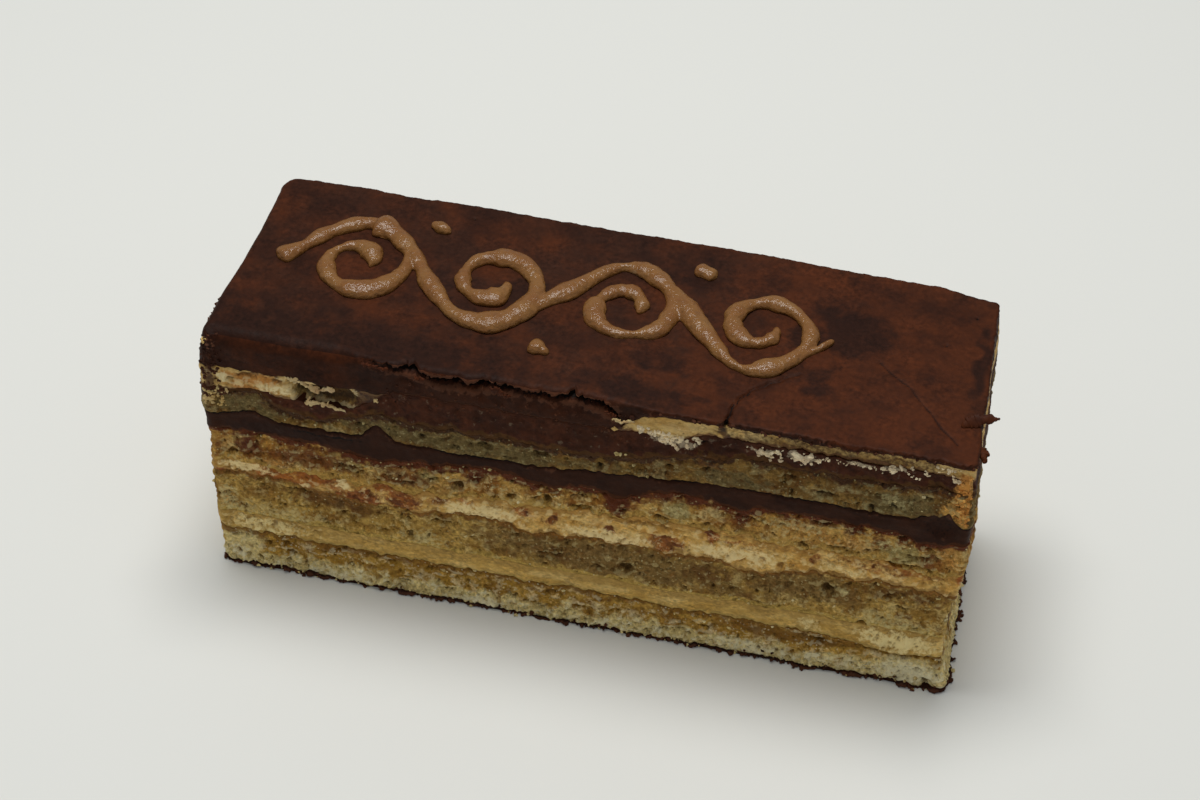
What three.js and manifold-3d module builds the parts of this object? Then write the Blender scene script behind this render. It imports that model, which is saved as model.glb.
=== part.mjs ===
// A slice of opera cake: four soaked almond sponges with coffee cream, ganache, a poured chocolate
// glaze and a piped scroll. Millimetres, +Z up. The origin is the middle of the underside, +X runs along
// the slice and the clean cut face is at -Y.
import * as THREE from "three";
import { mergeVertices } from "three/addons/utils/BufferGeometryUtils.js";
import Module from "manifold-3d";

// Driving dimensions
const LENGTH = 105; // between the end cuts, along the top of the front face
const WIDTH = 33; // between the long cuts
const HEIGHT = 45.7; // underside to the top of the glaze
const LEFT_TAPER = 2; // how far the left end is set in at the back corner
const RIGHT_TAPER = 1.1; // the same at the right end
const BACK_BOW = { proud: 0.9, from: 5, to: 50 }; // the back cut bows out, and dies away from -> to
const CORNER_SOFTENING = 0.45; // how far the upright corners are pulled in each way
const GAP = 0.3; // clearance between two layers

// Grid of each layer
const STEPS_ALONG = 34;
const ROWS_ACROSS = [-1, -0.82, 0, 0.82, 1]; // share of half the width

const { lerp, smoothstep, clamp } = THREE.MathUtils;

// Seams between the layers, from the underside up. On the front face level is the height at the left
// end, each step [from, to, rise] lifts the seam between two places along X, and each swell
// [at, reach, rise] is a bump or a drip. The seam runs through to the height back on the other side.
const SEAMS = {
  underside: { back: 0, level: 0 },
  base_top: { back: 1, level: 1 },
  lower_cream_bottom: { back: 7.2, level: 7.5, swells: [[45, 6, -1.1]] },
  lower_cream_top: { back: 10.8, level: 10.7, steps: [[20, 35, 0.4]] },
  middle_cream_bottom: {
    back: 18.8,
    level: 18.6,
    steps: [[20, 34, 1.5]],
    swells: [[-50, 6, 1], [-28, 8, -0.9], [-15, 4, 0.5], [-6, 5, -0.8], [26, 4, -1.7]],
  },
  middle_cream_top: { back: 22.6, level: 21.2, steps: [[-28, 16, 3.4]], swells: [[50, 6, -1]] },
  ganache_bottom: {
    back: 29.2,
    level: 27.7,
    steps: [[-18, 30, 3]],
    swells: [
      [-30, 5, -1.2], [-13, 5, 0.9], [-4, 3, -1], [5.5, 2.6, -2.6],
      [14, 4, 1.3], [22, 2.6, -2], [48, 4, -1.6],
    ],
  },
  ganache_top: {
    back: 32.3,
    level: 30.8,
    steps: [[-15, 25, 2.9]],
    swells: [[-47, 3, 1.1], [-28.5, 3, 2.2], [52, 4, 2.6]],
  },
  film_bottom: {
    back: 38,
    level: 35,
    steps: [[0, 24, 4.3]],
    swells: [[-38, 6, -2.4], [-28, 3, 0.9], [50, 6, 1.2]],
  },
  top_cream_bottom: {
    back: 40.6,
    level: 35.6,
    steps: [[-33, -25, 5], [2, 18, 2.1]],
    swells: [[12.5, 3, -1.6]],
  },
  top_cream_top: { back: 43.4, level: 39.7, steps: [[-33, -25, 2.4], [3, 12, 2.6]] },
  top: { back: HEIGHT, level: HEIGHT },
};
const BACK_WAVE = 0.4; // how far a seam rolls at the back

// Layers, from the underside up, each reaching from the seam below it to its roof. ends is how far the left
// and the right end stand out past LENGTH, rough how far the cut faces wander, rows the steps up a side.
const LAYERS = [
  { name: "base_coat", roof: "base_top", ends: [0.2, 1.3], rough: 0.15, rows: 1 },
  { name: "bottom_sponge", roof: "lower_cream_bottom", ends: [0.2, 1], rough: 0.3, rows: 3 },
  { name: "lower_cream", roof: "lower_cream_top", ends: [0.4, 0.6], rough: 0.15, rows: 2 },
  { name: "lower_sponge", roof: "middle_cream_bottom", ends: [0.5, 0.3], rough: 0.35, rows: 3 },
  { name: "middle_cream", roof: "middle_cream_top", ends: [0.5, 0.6], rough: 0.25, rows: 2 },
  { name: "upper_sponge", roof: "ganache_bottom", ends: [0.6, 1.4], rough: 0.4, rows: 3 },
  { name: "ganache", roof: "ganache_top", ends: [0.7, 1], rough: 0.15, rows: 2 },
  { name: "top_sponge", roof: "film_bottom", ends: [1.1, 1.2], rough: 0.3, rows: 2 },
  { name: "chocolate_film", roof: "top_cream_bottom", ends: [1.2, 1.1], rough: 0.15, rows: 2 },
  { name: "top_cream", roof: "top_cream_top", ends: [1.1, 0.7], rough: 0.2, rows: 2 },
  { name: "glaze", roof: "top", ends: [1, 0.5], rough: 0.15, rows: 3 },
];
const END_FLARE = 0.8; // share by which the glaze's ends draw in towards its top

// Local forms of the front face, each along a stretch [from, to] of X with soft ends.
const SOFT_END = 2.5;
const SMEAR = { stretch: [-29, 6], setBack: 2.5 }; // the top cream is hidden here behind dragged glaze
const LIP = { stretch: [-24, 1], drop: 1.2 }; // the glaze's lower edge hangs in front of it
const LEDGE = { stretch: [-26, 4], proud: 0.8, undercut: 0.6 }; // the glaze's broken front edge
const HOLLOW = { stretch: [-41, -32], depth: 2.8 }; // torn pocket in the top cream
const OVERHANG = { stretch: [41, 52], proud: 0.5, undercut: 0.9 }; // lower cream over the bottom sponge
const EDGE_DROP = 0.35; // the glaze rounds over towards its edges

// The piped scroll: a waving stem with a curl in each of its hollows, and a few drops beside it.
const SCROLL = {
  from: -47,
  to: 31,
  middle: 2, // Y of the stem's middle line
  swing: 8,
  firstCrest: -36,
  crestToTrough: 19,
  curls: 4,
  curlStart: 8.2, // radius
  curlEnd: 1.9,
  curlTurns: 1.3,
  drops: [[-26.5, 12], [11.5, 12], [-7.5, -8.5]],
  dropLength: 3.2,
};
const BEAD = { halfWidth: 1.35, height: 1.2, root: 0.4, sides: 8, step: 2.4 };
const CURL_SCALE = 0.9; // of the stem's bead
const DROP_SCALE = 0.85;

const within = (x, [from, to]) =>
  smoothstep(x, from - SOFT_END, from + SOFT_END) * (1 - smoothstep(x, to - SOFT_END, to + SOFT_END));

// An uneven roll between -1 and 1: three sines of unrelated lengths.
const wander = (a, b) =>
  (Math.sin(a * 0.31 + b * 1.9) + Math.sin(a * 0.83 - b * 2.7 + 1.3) + Math.sin(a * 1.57 + b * 4.1 + 4)) / 3;

function seamHeight({ back, level, steps = [], swells = [] }, x, y) {
  let front = level;
  for (const [from, to, rise] of steps) front += rise * smoothstep(x, from, to);
  for (const [at, reach, rise] of swells) front += rise * Math.exp(-(((x - at) / reach) ** 2));
  const roll = level === back ? 0 : BACK_WAVE * wander(x, level);
  return lerp(back + roll, front, smoothstep(-y, -WIDTH / 2, WIDTH / 2));
}

// How far the front face of a layer stands out of its nominal place, at share h of the layer's height.
function frontRelief({ name, rough }, x, h) {
  const belly = Math.sin(Math.PI * h);
  let out = rough * wander(x * 1.3, h * 2 + rough * 40);
  if (name === "top_cream") {
    out -= within(x, SMEAR.stretch) * SMEAR.setBack;
    out -= within(x, HOLLOW.stretch) * HOLLOW.depth * belly;
  }
  if (name === "glaze") out += within(x, LEDGE.stretch) * (h > 0.9 ? LEDGE.proud : -LEDGE.undercut * belly);
  if (name === "lower_cream") out += within(x, OVERHANG.stretch) * OVERHANG.proud;
  if (name === "bottom_sponge") out -= within(x, OVERHANG.stretch) * OVERHANG.undercut * belly;
  return out;
}

function backRelief({ rough }, x, h) {
  const bow = BACK_BOW.proud * (1 - smoothstep(x, BACK_BOW.from, BACK_BOW.to));
  return bow + rough * wander(x * 1.1 + 20, h * 2 + rough);
}

function endRelief({ name, ends: [left, right], rough }, side, y, h) {
  const proud = (side > 0 ? right : left) * (name === "glaze" ? 1 - END_FLARE * h : 1);
  return proud + rough * wander(y * 2, h * 3 + side);
}

function layerHeight({ name, roof }, x, y, h, atEdge) {
  const names = Object.keys(SEAMS);
  const floor = names[names.indexOf(roof) - 1];
  const low = seamHeight(SEAMS[floor], x, y) + (floor === "underside" ? 0 : GAP / 2);
  const high = seamHeight(SEAMS[roof], x, y) - (roof === "top" ? EDGE_DROP * atEdge : GAP / 2);
  const lip = name === "glaze" && y <= -WIDTH / 2 ? within(x, LIP.stretch) * LIP.drop : 0;
  return lerp(low - lip, high, h);
}

// A box's lower sheet splits its squares the other way from its upper sheet. This splits them alike, so
// that the two layers at a seam keep their clearance.
function alignDiagonals(box) {
  const lowerSheet = box.groups[5];
  for (let i = lowerSheet.start; i < lowerSheet.start + lowerSheet.count; i += 6) {
    const [a, b, d, , c] = box.index.array.slice(i, i + 6);
    box.index.array.set([a, b, c, a, c, d], i);
  }
}

// One layer: a box grid whose sheets follow the two seams and whose sides take their relief.
function layerGeometry(layer) {
  const lastRow = ROWS_ACROSS.length - 1;
  const box = new THREE.BoxGeometry(2, 2, 1, STEPS_ALONG, lastRow, layer.rows);
  alignDiagonals(box);
  const at = box.getAttribute("position");
  for (let i = 0; i < at.count; i++) {
    const u = at.getX(i);
    const v = ROWS_ACROSS[Math.round(((at.getY(i) + 1) / 2) * lastRow)];
    const h = at.getZ(i) + 0.5;
    const depth = (v + 1) / 2;
    const x = lerp(LEFT_TAPER * depth - LENGTH / 2, LENGTH / 2 - RIGHT_TAPER * depth, (u + 1) / 2);
    const y = (v * WIDTH) / 2;
    const side = Math.abs(u) === 1 ? u : 0; // -1 or 1 on an end face
    const face = Math.abs(v) === 1 ? v : 0; // -1 on the front face, 1 on the back
    const z = layerHeight(layer, x, y, h, side || face ? 1 : 0);
    const corner = side && face ? CORNER_SOFTENING : 0;
    const outX = side ? side * (endRelief(layer, side, y, h) - corner) : 0;
    const proud = face < 0 ? frontRelief(layer, x, h) : backRelief(layer, x, h);
    const outY = face ? face * (proud - corner) : 0;
    at.setXYZ(i, x + outX, y + outY, z);
  }
  return box;
}

class Stem extends THREE.Curve {
  getPoint(t, target = new THREE.Vector3()) {
    const x = lerp(SCROLL.from, SCROLL.to, t);
    const swing = SCROLL.swing * Math.cos((Math.PI * (x - SCROLL.firstCrest)) / SCROLL.crestToTrough);
    return target.set(x, SCROLL.middle + swing, 0);
  }
}

// Winds inwards from the stem's crest at x, or with side -1 from its trough.
class Curl extends THREE.Curve {
  constructor(x, side) {
    super();
    this.x = x;
    this.y = SCROLL.middle + side * (SCROLL.swing - SCROLL.curlStart);
    this.side = side;
  }
  getPoint(t, target = new THREE.Vector3()) {
    const angle = Math.PI / 2 - t * SCROLL.curlTurns * 2 * Math.PI;
    const radius = lerp(SCROLL.curlStart, SCROLL.curlEnd, t ** 0.8);
    return target.set(this.x + radius * Math.cos(angle), this.y + this.side * radius * Math.sin(angle), 0);
  }
}

// A capsule bent along a level curve, and flattened to the bead's width, height and root.
function beadGeometry(curve, scale = 1) {
  const length = curve.getLength();
  const steps = Math.max(1, Math.round(length / BEAD.step));
  const capsule = new THREE.CapsuleGeometry(1, length, 2, BEAD.sides, steps);
  const at = capsule.getAttribute("position");
  const reach = length / 2 + 1;
  for (let i = 0; i < at.count; i++) {
    const t = clamp((at.getY(i) / reach + 1) / 2, 0, 1);
    const place = curve.getPointAt(t);
    const along = curve.getTangentAt(t);
    const side = at.getX(i) * BEAD.halfWidth * scale;
    const rise = at.getZ(i) * (at.getZ(i) > 0 ? BEAD.height * scale : BEAD.root);
    at.setXYZ(i, place.x + along.y * side, place.y - along.x * side, HEIGHT + rise);
  }
  return capsule;
}

function scrollBeads() {
  const beads = [beadGeometry(new Stem())];
  for (let k = 0; k < SCROLL.curls; k++) {
    const x = SCROLL.firstCrest + k * SCROLL.crestToTrough;
    beads.push(beadGeometry(new Curl(x, k % 2 ? -1 : 1), CURL_SCALE));
  }
  for (const [x, y] of SCROLL.drops) {
    const half = SCROLL.dropLength / 2;
    const ends = [new THREE.Vector3(x - half, y, 0), new THREE.Vector3(x + half, y - 1, 0)];
    beads.push(beadGeometry(new THREE.LineCurve3(...ends), DROP_SCALE));
  }
  return beads;
}

const wasm = await Module();
wasm.setup();

function closedGeometry(geometry) {
  geometry.deleteAttribute("normal");
  geometry.deleteAttribute("uv");
  return mergeVertices(geometry, 1e-4);
}

function solidFrom(geometry) {
  const closed = closedGeometry(geometry);
  const vertProperties = closed.getAttribute("position").array;
  const triVerts = new Uint32Array(closed.index.array);
  return new wasm.Manifold(new wasm.Mesh({ numProp: 3, vertProperties, triVerts }));
}

function geometryFrom(solid) {
  const { vertProperties, triVerts } = solid.getMesh();
  return new THREE.BufferGeometry()
    .setAttribute("position", new THREE.BufferAttribute(vertProperties, 3))
    .setIndex(new THREE.BufferAttribute(triVerts, 1));
}

const withScroll = (glaze) =>
  geometryFrom(scrollBeads().reduce((joined, bead) => joined.add(solidFrom(bead)), solidFrom(glaze)));

const FINISHES = {
  base_coat: { color: 0x2c1a12, roughness: 0.6 },
  bottom_sponge: { color: 0xb59a62, roughness: 0.95 },
  lower_cream: { color: 0xc9a560, roughness: 0.6 },
  lower_sponge: { color: 0xa5824a, roughness: 0.95 },
  middle_cream: { color: 0xe0c184, roughness: 0.7 },
  upper_sponge: { color: 0xa17a42, roughness: 0.95 },
  ganache: { color: 0x2a1912, roughness: 0.5 },
  top_sponge: { color: 0x7d6a42, roughness: 0.95 },
  chocolate_film: { color: 0x37211a, roughness: 0.6 },
  top_cream: { color: 0xe0cf92, roughness: 0.6 },
  glaze: { color: 0x43261b, roughness: 0.4 },
};

const slice = new THREE.Group();
for (const layer of LAYERS) {
  const plain = closedGeometry(layerGeometry(layer));
  const finish = new THREE.MeshStandardMaterial({ ...FINISHES[layer.name], metalness: 0 });
  const mesh = new THREE.Mesh(layer.name === "glaze" ? withScroll(plain) : plain, finish);
  mesh.name = layer.name;
  slice.add(mesh);
}

export default slice;
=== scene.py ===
"""The looks of an opera cake slice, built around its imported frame.

Four sheets of almond sponge are soaked with coffee syrup and stacked with coffee buttercream and
ganache on a brushed chocolate base, under a poured chocolate glaze with a piped scroll. Each layer is
one closed mesh whose cut faces carry their own relief. Shapes are worked out in millimetres and turned
to metres as meshes are made.
"""

import logging
import math
from dataclasses import dataclass, field
from enum import Enum
from itertools import product
from typing import Iterable, Sequence

import bmesh
import bpy
import numpy as np
from mathutils import Matrix, Vector


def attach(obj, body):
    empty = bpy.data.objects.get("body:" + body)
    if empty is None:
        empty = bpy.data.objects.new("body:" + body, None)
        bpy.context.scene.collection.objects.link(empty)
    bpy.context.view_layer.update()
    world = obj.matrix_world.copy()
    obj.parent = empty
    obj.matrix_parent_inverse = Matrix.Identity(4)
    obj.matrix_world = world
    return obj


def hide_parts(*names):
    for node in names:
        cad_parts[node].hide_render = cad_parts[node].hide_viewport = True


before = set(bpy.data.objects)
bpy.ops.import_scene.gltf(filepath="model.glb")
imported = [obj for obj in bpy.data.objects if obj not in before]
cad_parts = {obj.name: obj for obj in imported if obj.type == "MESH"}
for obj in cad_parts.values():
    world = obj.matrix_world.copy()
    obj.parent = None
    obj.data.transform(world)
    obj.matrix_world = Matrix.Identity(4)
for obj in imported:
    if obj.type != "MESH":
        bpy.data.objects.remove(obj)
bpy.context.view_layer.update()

log = logging.getLogger("opera_cake_slice")

Array = np.ndarray
Pair = tuple[float, float]
Triple = tuple[float, float, float]
Shape = tuple[Array, list[Array]]  # points in mm, and arrays of faces
MM = 0.001

# The slice, as its solids have it
LENGTH = 105.0
WIDTH = 33.0
HEIGHT = 45.7
LEFT_TAPER = 2.0
RIGHT_TAPER = 1.1
BACK_BOW = 0.9
BACK_BOW_FADE = (5.0, 50.0)
SLANT = 1.1  # how far the back's right corner is drawn in
SLANT_ALONG = (43.0, 52.0)
WAVER = 0.22  # of the knife
SMEAR = (-29.0, 6.0)  # stretch of the front where glaze is dragged down over the top cream
SOFT_END = 2.5

# Mesh steps
STEPS_ALONG = 460
STEPS_ACROSS = 140
ROW_HEIGHT = 0.21
SEED = 7

# Relief lower than its surroundings gets painted shade, and relief higher than them a painted highlight:
# from what height, and over how much more, in mm
SUNK_FROM, SUNK_OVER = 0.06, 0.4
PROUD_FROM, PROUD_OVER = 0.03, 0.25
LEVEL_REACH = 4  # mesh points on each side that make up those surroundings
GRAIN_RADIUS = 0.6  # of a grain, in sizes of its cell
SPINE_STEPS = 40  # of the line inside a seam to which its faces run


class Mask(str, Enum):
    """What a point of a surface is marked with for its finish, from 0 to 1."""

    # Stains of syrup and chocolate; on the glaze also painted sheen on the top and painted light on the
    # skirt, and in the top cream painted shade at the crack's mouth
    SOAK_AND_SHADING = "soak"
    # Paler colour; at the left end of the two lower sponges also painted light
    PALE = "pale"
    # Greyish colour; on the ganache, in the top cream and on the glaze's top also painted shade
    GREY = "grey"
    # Painted shade in hollows, pores, cracks, crevices, gaps and listed spots
    PAINTED_SHADE = "sunk"
    # Painted highlight on raised points of the relief
    PAINTED_HIGHLIGHT = "proud"
    ROOF = "roof"
    FLOOR = "floor"
    TOAST = "toast"


Marks = dict[Mask, Array]


def linear(code: str) -> tuple[float, float, float, float]:
    """Turns an sRGB hex colour to linear light.

    Args:
        code: six hex digits.

    Returns:
        Red, green, blue and an alpha of 1.
    """
    parts = [int(code[k : k + 2], 16) / 255 for k in (0, 2, 4)]
    return (*(c / 12.92 if c <= 0.04045 else ((c + 0.055) / 1.055) ** 2.4 for c in parts), 1.0)


def lerp(a: Array, b: Array, t: Array) -> Array:
    """Goes from a to b as t goes from 0 to 1."""
    return a + (b - a) * t


def smoothstep(value: Array, low: float, high: float) -> Array:
    """Rises smoothly from 0 at low to 1 at high."""
    t = np.clip((value - low) / (high - low), 0.0, 1.0)
    return t * t * (3 - 2 * t)


def within(x: Array, stretch: Pair, soft: float = SOFT_END) -> Array:
    """Is 1 along a stretch of X and 0 outside it, with soft ends."""
    start, end = stretch
    return smoothstep(x, start - soft, start + soft) * (1 - smoothstep(x, end - soft, end + soft))


def bell(offset: Array, reach: float | Array) -> Array:
    """Is 1 in the middle and falls smoothly on both sides, to about a third at the reach."""
    return np.exp(-((offset / reach) ** 2))


def domed(away: Array) -> Array:
    """Height of a grain of 1, by the distance from its middle in sizes of its cell."""
    return 1 - (away / GRAIN_RADIUS) ** 2


def points_from(*axes: Array) -> Array:
    """Joins arrays of X, Y and, where there is one, Z to one of points."""
    return np.stack(axes, axis=-1)


class Noise:
    """Seeded rolling noise and cell noise over millimetre coordinates.

    Rolls are scaled by GAIN to reach about 1, and the finer sizes of one noise are moved APART.
    """

    SIZE = 1024
    GAIN = 1.7
    APART = 17.3

    def __init__(self, seed: int) -> None:
        """Draws the tables, the same for the same seed."""
        rng = np.random.default_rng(seed)
        self.order = rng.permutation(self.SIZE)
        slopes = rng.normal(size=(self.SIZE, 3))
        self.slopes = slopes / np.linalg.norm(slopes, axis=1, keepdims=True)
        self.places = rng.random((self.SIZE, 3))
        self.draws = rng.random(self.SIZE)

    def _index(self, cell: Array) -> Array:
        """Gives each whole-numbered cell its place in the tables."""
        index = self.order[cell[..., 0] % self.SIZE]
        index = self.order[(index + cell[..., 1]) % self.SIZE]
        return self.order[(index + cell[..., 2]) % self.SIZE]

    def roll(self, points: Array, size: float | Sequence[float]) -> Array:
        """Rolling noise.

        Args:
            points: positions in mm, the last axis X, Y and Z.
            size: length of a roll in mm, one for all axes or one for each.

        Returns:
            A value for each point, mostly between -1 and 1.
        """
        scaled = points / np.asarray(size, float)
        cell = np.floor(scaled).astype(int)
        inside = scaled - cell
        ease = inside**3 * (inside * (inside * 6 - 15) + 10)
        total = np.zeros(points.shape[:-1])
        for corner in product((0, 1), repeat=3):
            slope = self.slopes[self._index(cell + corner)]
            share = np.prod(np.where(corner, ease, 1 - ease), axis=-1)
            total += share * np.sum(slope * (inside - corner), axis=-1)
        return total * self.GAIN

    def layered(
        self, points: Array, size: float | Sequence[float], octaves: int = 3, gain: float = 0.5
    ) -> Array:
        """Rolling noise with finer noise on it.

        Args:
            points: positions in mm.
            size: length of the largest roll in mm.
            octaves: how many sizes, each half as large as the last.
            gain: strength of each against the last.

        Returns:
            A value for each point, mostly between -1.5 and 1.5.
        """
        total = np.zeros(points.shape[:-1])
        for k in range(octaves):
            total += gain**k * self.roll(points + self.APART * k, np.asarray(size, float) / 2**k)
        return total

    def cells(self, points: Array, size: float) -> tuple[Array, Array]:
        """Distance to the middle of the nearest of many scattered cells.

        Args:
            points: positions in mm.
            size: distance between cells in mm.

        Returns:
            The distance in cell sizes, and each cell's draw from 0 to 1.
        """
        scaled = points / size
        cell = np.floor(scaled).astype(int)
        nearest = np.full(points.shape[:-1], 9.0)
        draw = np.zeros(points.shape[:-1])
        for step in product((-1, 0, 1), repeat=3):
            index = self._index(cell + step)
            gap = np.sum((cell + step + self.places[index] - scaled) ** 2, axis=-1)
            closer = gap < nearest
            nearest = np.where(closer, gap, nearest)
            draw = np.where(closer, self.draws[index], draw)
        return np.sqrt(nearest), draw

    def warped(self, points: Array, size: float, reach: float) -> Array:
        """Moves points by rolling noise, for uneven outlines."""
        shifts = [self.roll(points + 31.7 * (k + 1), size) for k in range(3)]
        return points + reach * points_from(*shifts)


@dataclass(frozen=True)
class Blot:
    """A soft-edged spot on the front face.

    Attributes:
        x: its middle along the slice, in mm.
        z: its middle above the underside.
        rx: reach along the slice.
        rz: reach up and down.
        amount: strength.
    """

    x: float
    z: float
    rx: float
    rz: float
    amount: float = 1.0

    def away(self, along: Array, across: Array) -> Array:
        """Distance from its middle, in shares of its reach."""
        return np.hypot((along - self.x) / self.rx, (across - self.z) / self.rz)


Blots = tuple[Blot, ...]


def spots(*numbers: tuple[float, ...]) -> Blots:
    """Makes blots, each from its numbers in Blot's own order."""
    return tuple(Blot(*spot) for spot in numbers)


@dataclass
class Ring:
    """The slice's outline from above, anticlockwise from the front left corner.

    The points are closer together near the corners, so that the glaze can round over there.
    """

    radii: tuple[float, float, float, float] = (1.0, 0.7, 0.8, 2.4)
    x: Array = field(init=False)
    y: Array = field(init=False)
    nx: Array = field(init=False)
    ny: Array = field(init=False)

    def __post_init__(self) -> None:
        """Works the outline out from the four corners."""
        half = WIDTH / 2
        corners = np.array([
            [-LENGTH / 2, -half],
            [LENGTH / 2, -half],
            [LENGTH / 2 - RIGHT_TAPER, half],
            [LEFT_TAPER - LENGTH / 2, half],
        ])
        sides = []
        for k, steps in enumerate((STEPS_ALONG, STEPS_ACROSS) * 2):
            share = self.shares(steps)[:-1, None]
            sides.append(lerp(corners[k], corners[(k + 1) % 4], share))
        points = np.concatenate(sides)
        for k, radius in enumerate(self.radii):
            points = self._rounded(points, corners, k, radius)
        self.x, self.y = points.T
        along = np.roll(points, -2, axis=0) - np.roll(points, 2, axis=0)
        along /= np.linalg.norm(along, axis=1, keepdims=True)
        self.nx, self.ny = along[:, 1], -along[:, 0]

    @staticmethod
    def shares(steps: int) -> Array:
        """Places from 0 to 1 along a side, closer together near its ends."""
        t = np.linspace(0.0, 1.0, steps + 1)
        return t - 0.5 * np.sin(2 * np.pi * t) / (2 * np.pi) * (60 / steps)

    @staticmethod
    def _rounded(points: Array, corners: Array, k: int, radius: float) -> Array:
        """Pulls the points near corner k on to an arc."""
        corner = corners[k]
        edges = [corners[(k + step) % 4] - corner for step in (1, -1)]
        units = [edge / np.linalg.norm(edge) for edge in edges]
        middle = corner + radius * (units[0] + units[1])
        offset = points - middle
        beyond = (offset @ units[0] < 0) & (offset @ units[1] < 0)
        length = np.maximum(np.linalg.norm(offset, axis=1, keepdims=True), 1e-6)
        arc = middle + radius * offset / length
        return np.where(beyond[:, None], arc, points)

    @property
    def count(self) -> int:
        """Number of points round the slice."""
        return len(self.x)


@dataclass(frozen=True)
class Seam:
    """The height at which two layers meet.

    Attributes:
        back: height on the back face, in mm.
        level: height at the left end of the front face.
        steps: stretches (from, to, rise) that lift the front.
        swells: its bumps and drips (at, reach, rise).
        ragged: how far the edge wanders up and down.
        grain: length of that wander.
    """

    back: float
    level: float
    steps: tuple[Triple, ...] = ()
    swells: tuple[Triple, ...] = ()
    ragged: float = 0.0
    grain: float = 3.0

    def height(self, x: Array, y: Array, noise: Noise) -> Array:
        """Height of the seam over points of the plan.

        Args:
            x: places along the slice, in mm.
            y: places across it.
            noise: the ragged edge's.

        Returns:
            Heights in mm.
        """
        front = np.full(np.shape(x), self.level, float)
        for start, end, rise in self.steps:
            front += rise * smoothstep(x, start, end)
        for at, reach, rise in self.swells:
            front += rise * bell(x - at, reach)
        height = lerp(self.back, front, smoothstep(-y, -WIDTH / 2, WIDTH / 2))
        if self.ragged:
            points = points_from(x, y, np.full(np.shape(x), 9.7 * self.level))
            height = height + self.ragged * noise.layered(points, self.grain, 4, 0.6)
        return height


SEAMS: dict[str, Seam] = {
    "underside": Seam(0, 0),
    "base_top": Seam(0.8, 0.5, swells=((-46, 3, 0.3),), ragged=0.45, grain=1.4),
    "lower_cream_bottom": Seam(7.2, 7.5, swells=((45, 6, -1.1),), ragged=0.42, grain=1.7),
    "lower_cream_top": Seam(10.8, 10.7, steps=((20, 35, 0.4),), ragged=0.35, grain=2.6),
    "middle_cream_bottom": Seam(
        18.8, 18.6, steps=((20, 34, 1.5),), ragged=0.75, grain=2.4,
        swells=((-50, 6, 1), (-28, 8, -0.9), (-15, 4, 0.5), (-6, 5, -0.8), (26, 4, -1.7)),
    ),
    "middle_cream_top": Seam(
        22.6, 21.2, steps=((-28, 16, 3.4),), swells=((50, 6, -1),), ragged=0.85, grain=2.8,
    ),
    "ganache_bottom": Seam(
        29.2, 27.7, steps=((-18, 30, 3),), ragged=0.5, grain=2.4,
        swells=(
            (-30, 5, -1.2), (-13, 5, 0.9), (-4, 3, -0.8), (5.5, 2.6, -1.5), (14, 4, 0.7), (22, 2.6, -1),
            (48, 4, -1.6),
        ),
    ),
    "ganache_top": Seam(
        32.3, 30.8, steps=((-15, 25, 2.9),), ragged=0.3, grain=1.5,
        swells=((-47, 2.4, 1.2), (-28.5, 1.7, 2.5), (48.4, 2.4, 1.4), (50.4, 0.7, 1.7)),
    ),
    "film_bottom": Seam(
        38, 35, steps=((0, 24, 4.3),), ragged=0.5, grain=2.4,
        swells=((-46.2, 2.2, 1.5), (-38, 6, -2.4), (-28, 3, 0.9), (50, 6, 1.2)),
    ),
    "top_cream_bottom": Seam(
        40.6, 35.6, steps=((-33, -25, 5), (2, 18, 2.1)), ragged=0.3, grain=1.8,
        swells=((-46.2, 2.2, 1.1), (12.5, 3, -1.6)),
    ),
    "top_cream_top": Seam(43.4, 39.5, steps=((-33, -25, 2.6), (3, 12, 2.6)), ragged=0.32, grain=1.6),
    "top": Seam(HEIGHT, HEIGHT),
}

# How far the two end faces stand out past their nominal place, by height above the underside
LEFT_END = (
    (0, 0.1), (4, 0.3), (11, 0.8), (21, 0.8), (26, 0.7), (27.5, 1.2), (31, 1.3), (34, 1.4), (38, 1.5),
    (42, 1.2), (44.8, 0.4),
)
RIGHT_END = (
    (0, 0.9), (1, 0.8), (5, -0.3), (11, -0.4), (17.7, 0), (21, 0.5), (25, 1.0),
    (27.7, 1.2), (30.7, 1.0), (36, 1.1), (41, 1.0), (44.8, 0.5),
)


def end_profile(z: Array, profile: Sequence[Pair]) -> Array:
    """Reads an end face's profile at the heights given, in mm."""
    heights, proud = zip(*profile)
    return np.interp(z, heights, proud)


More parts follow.
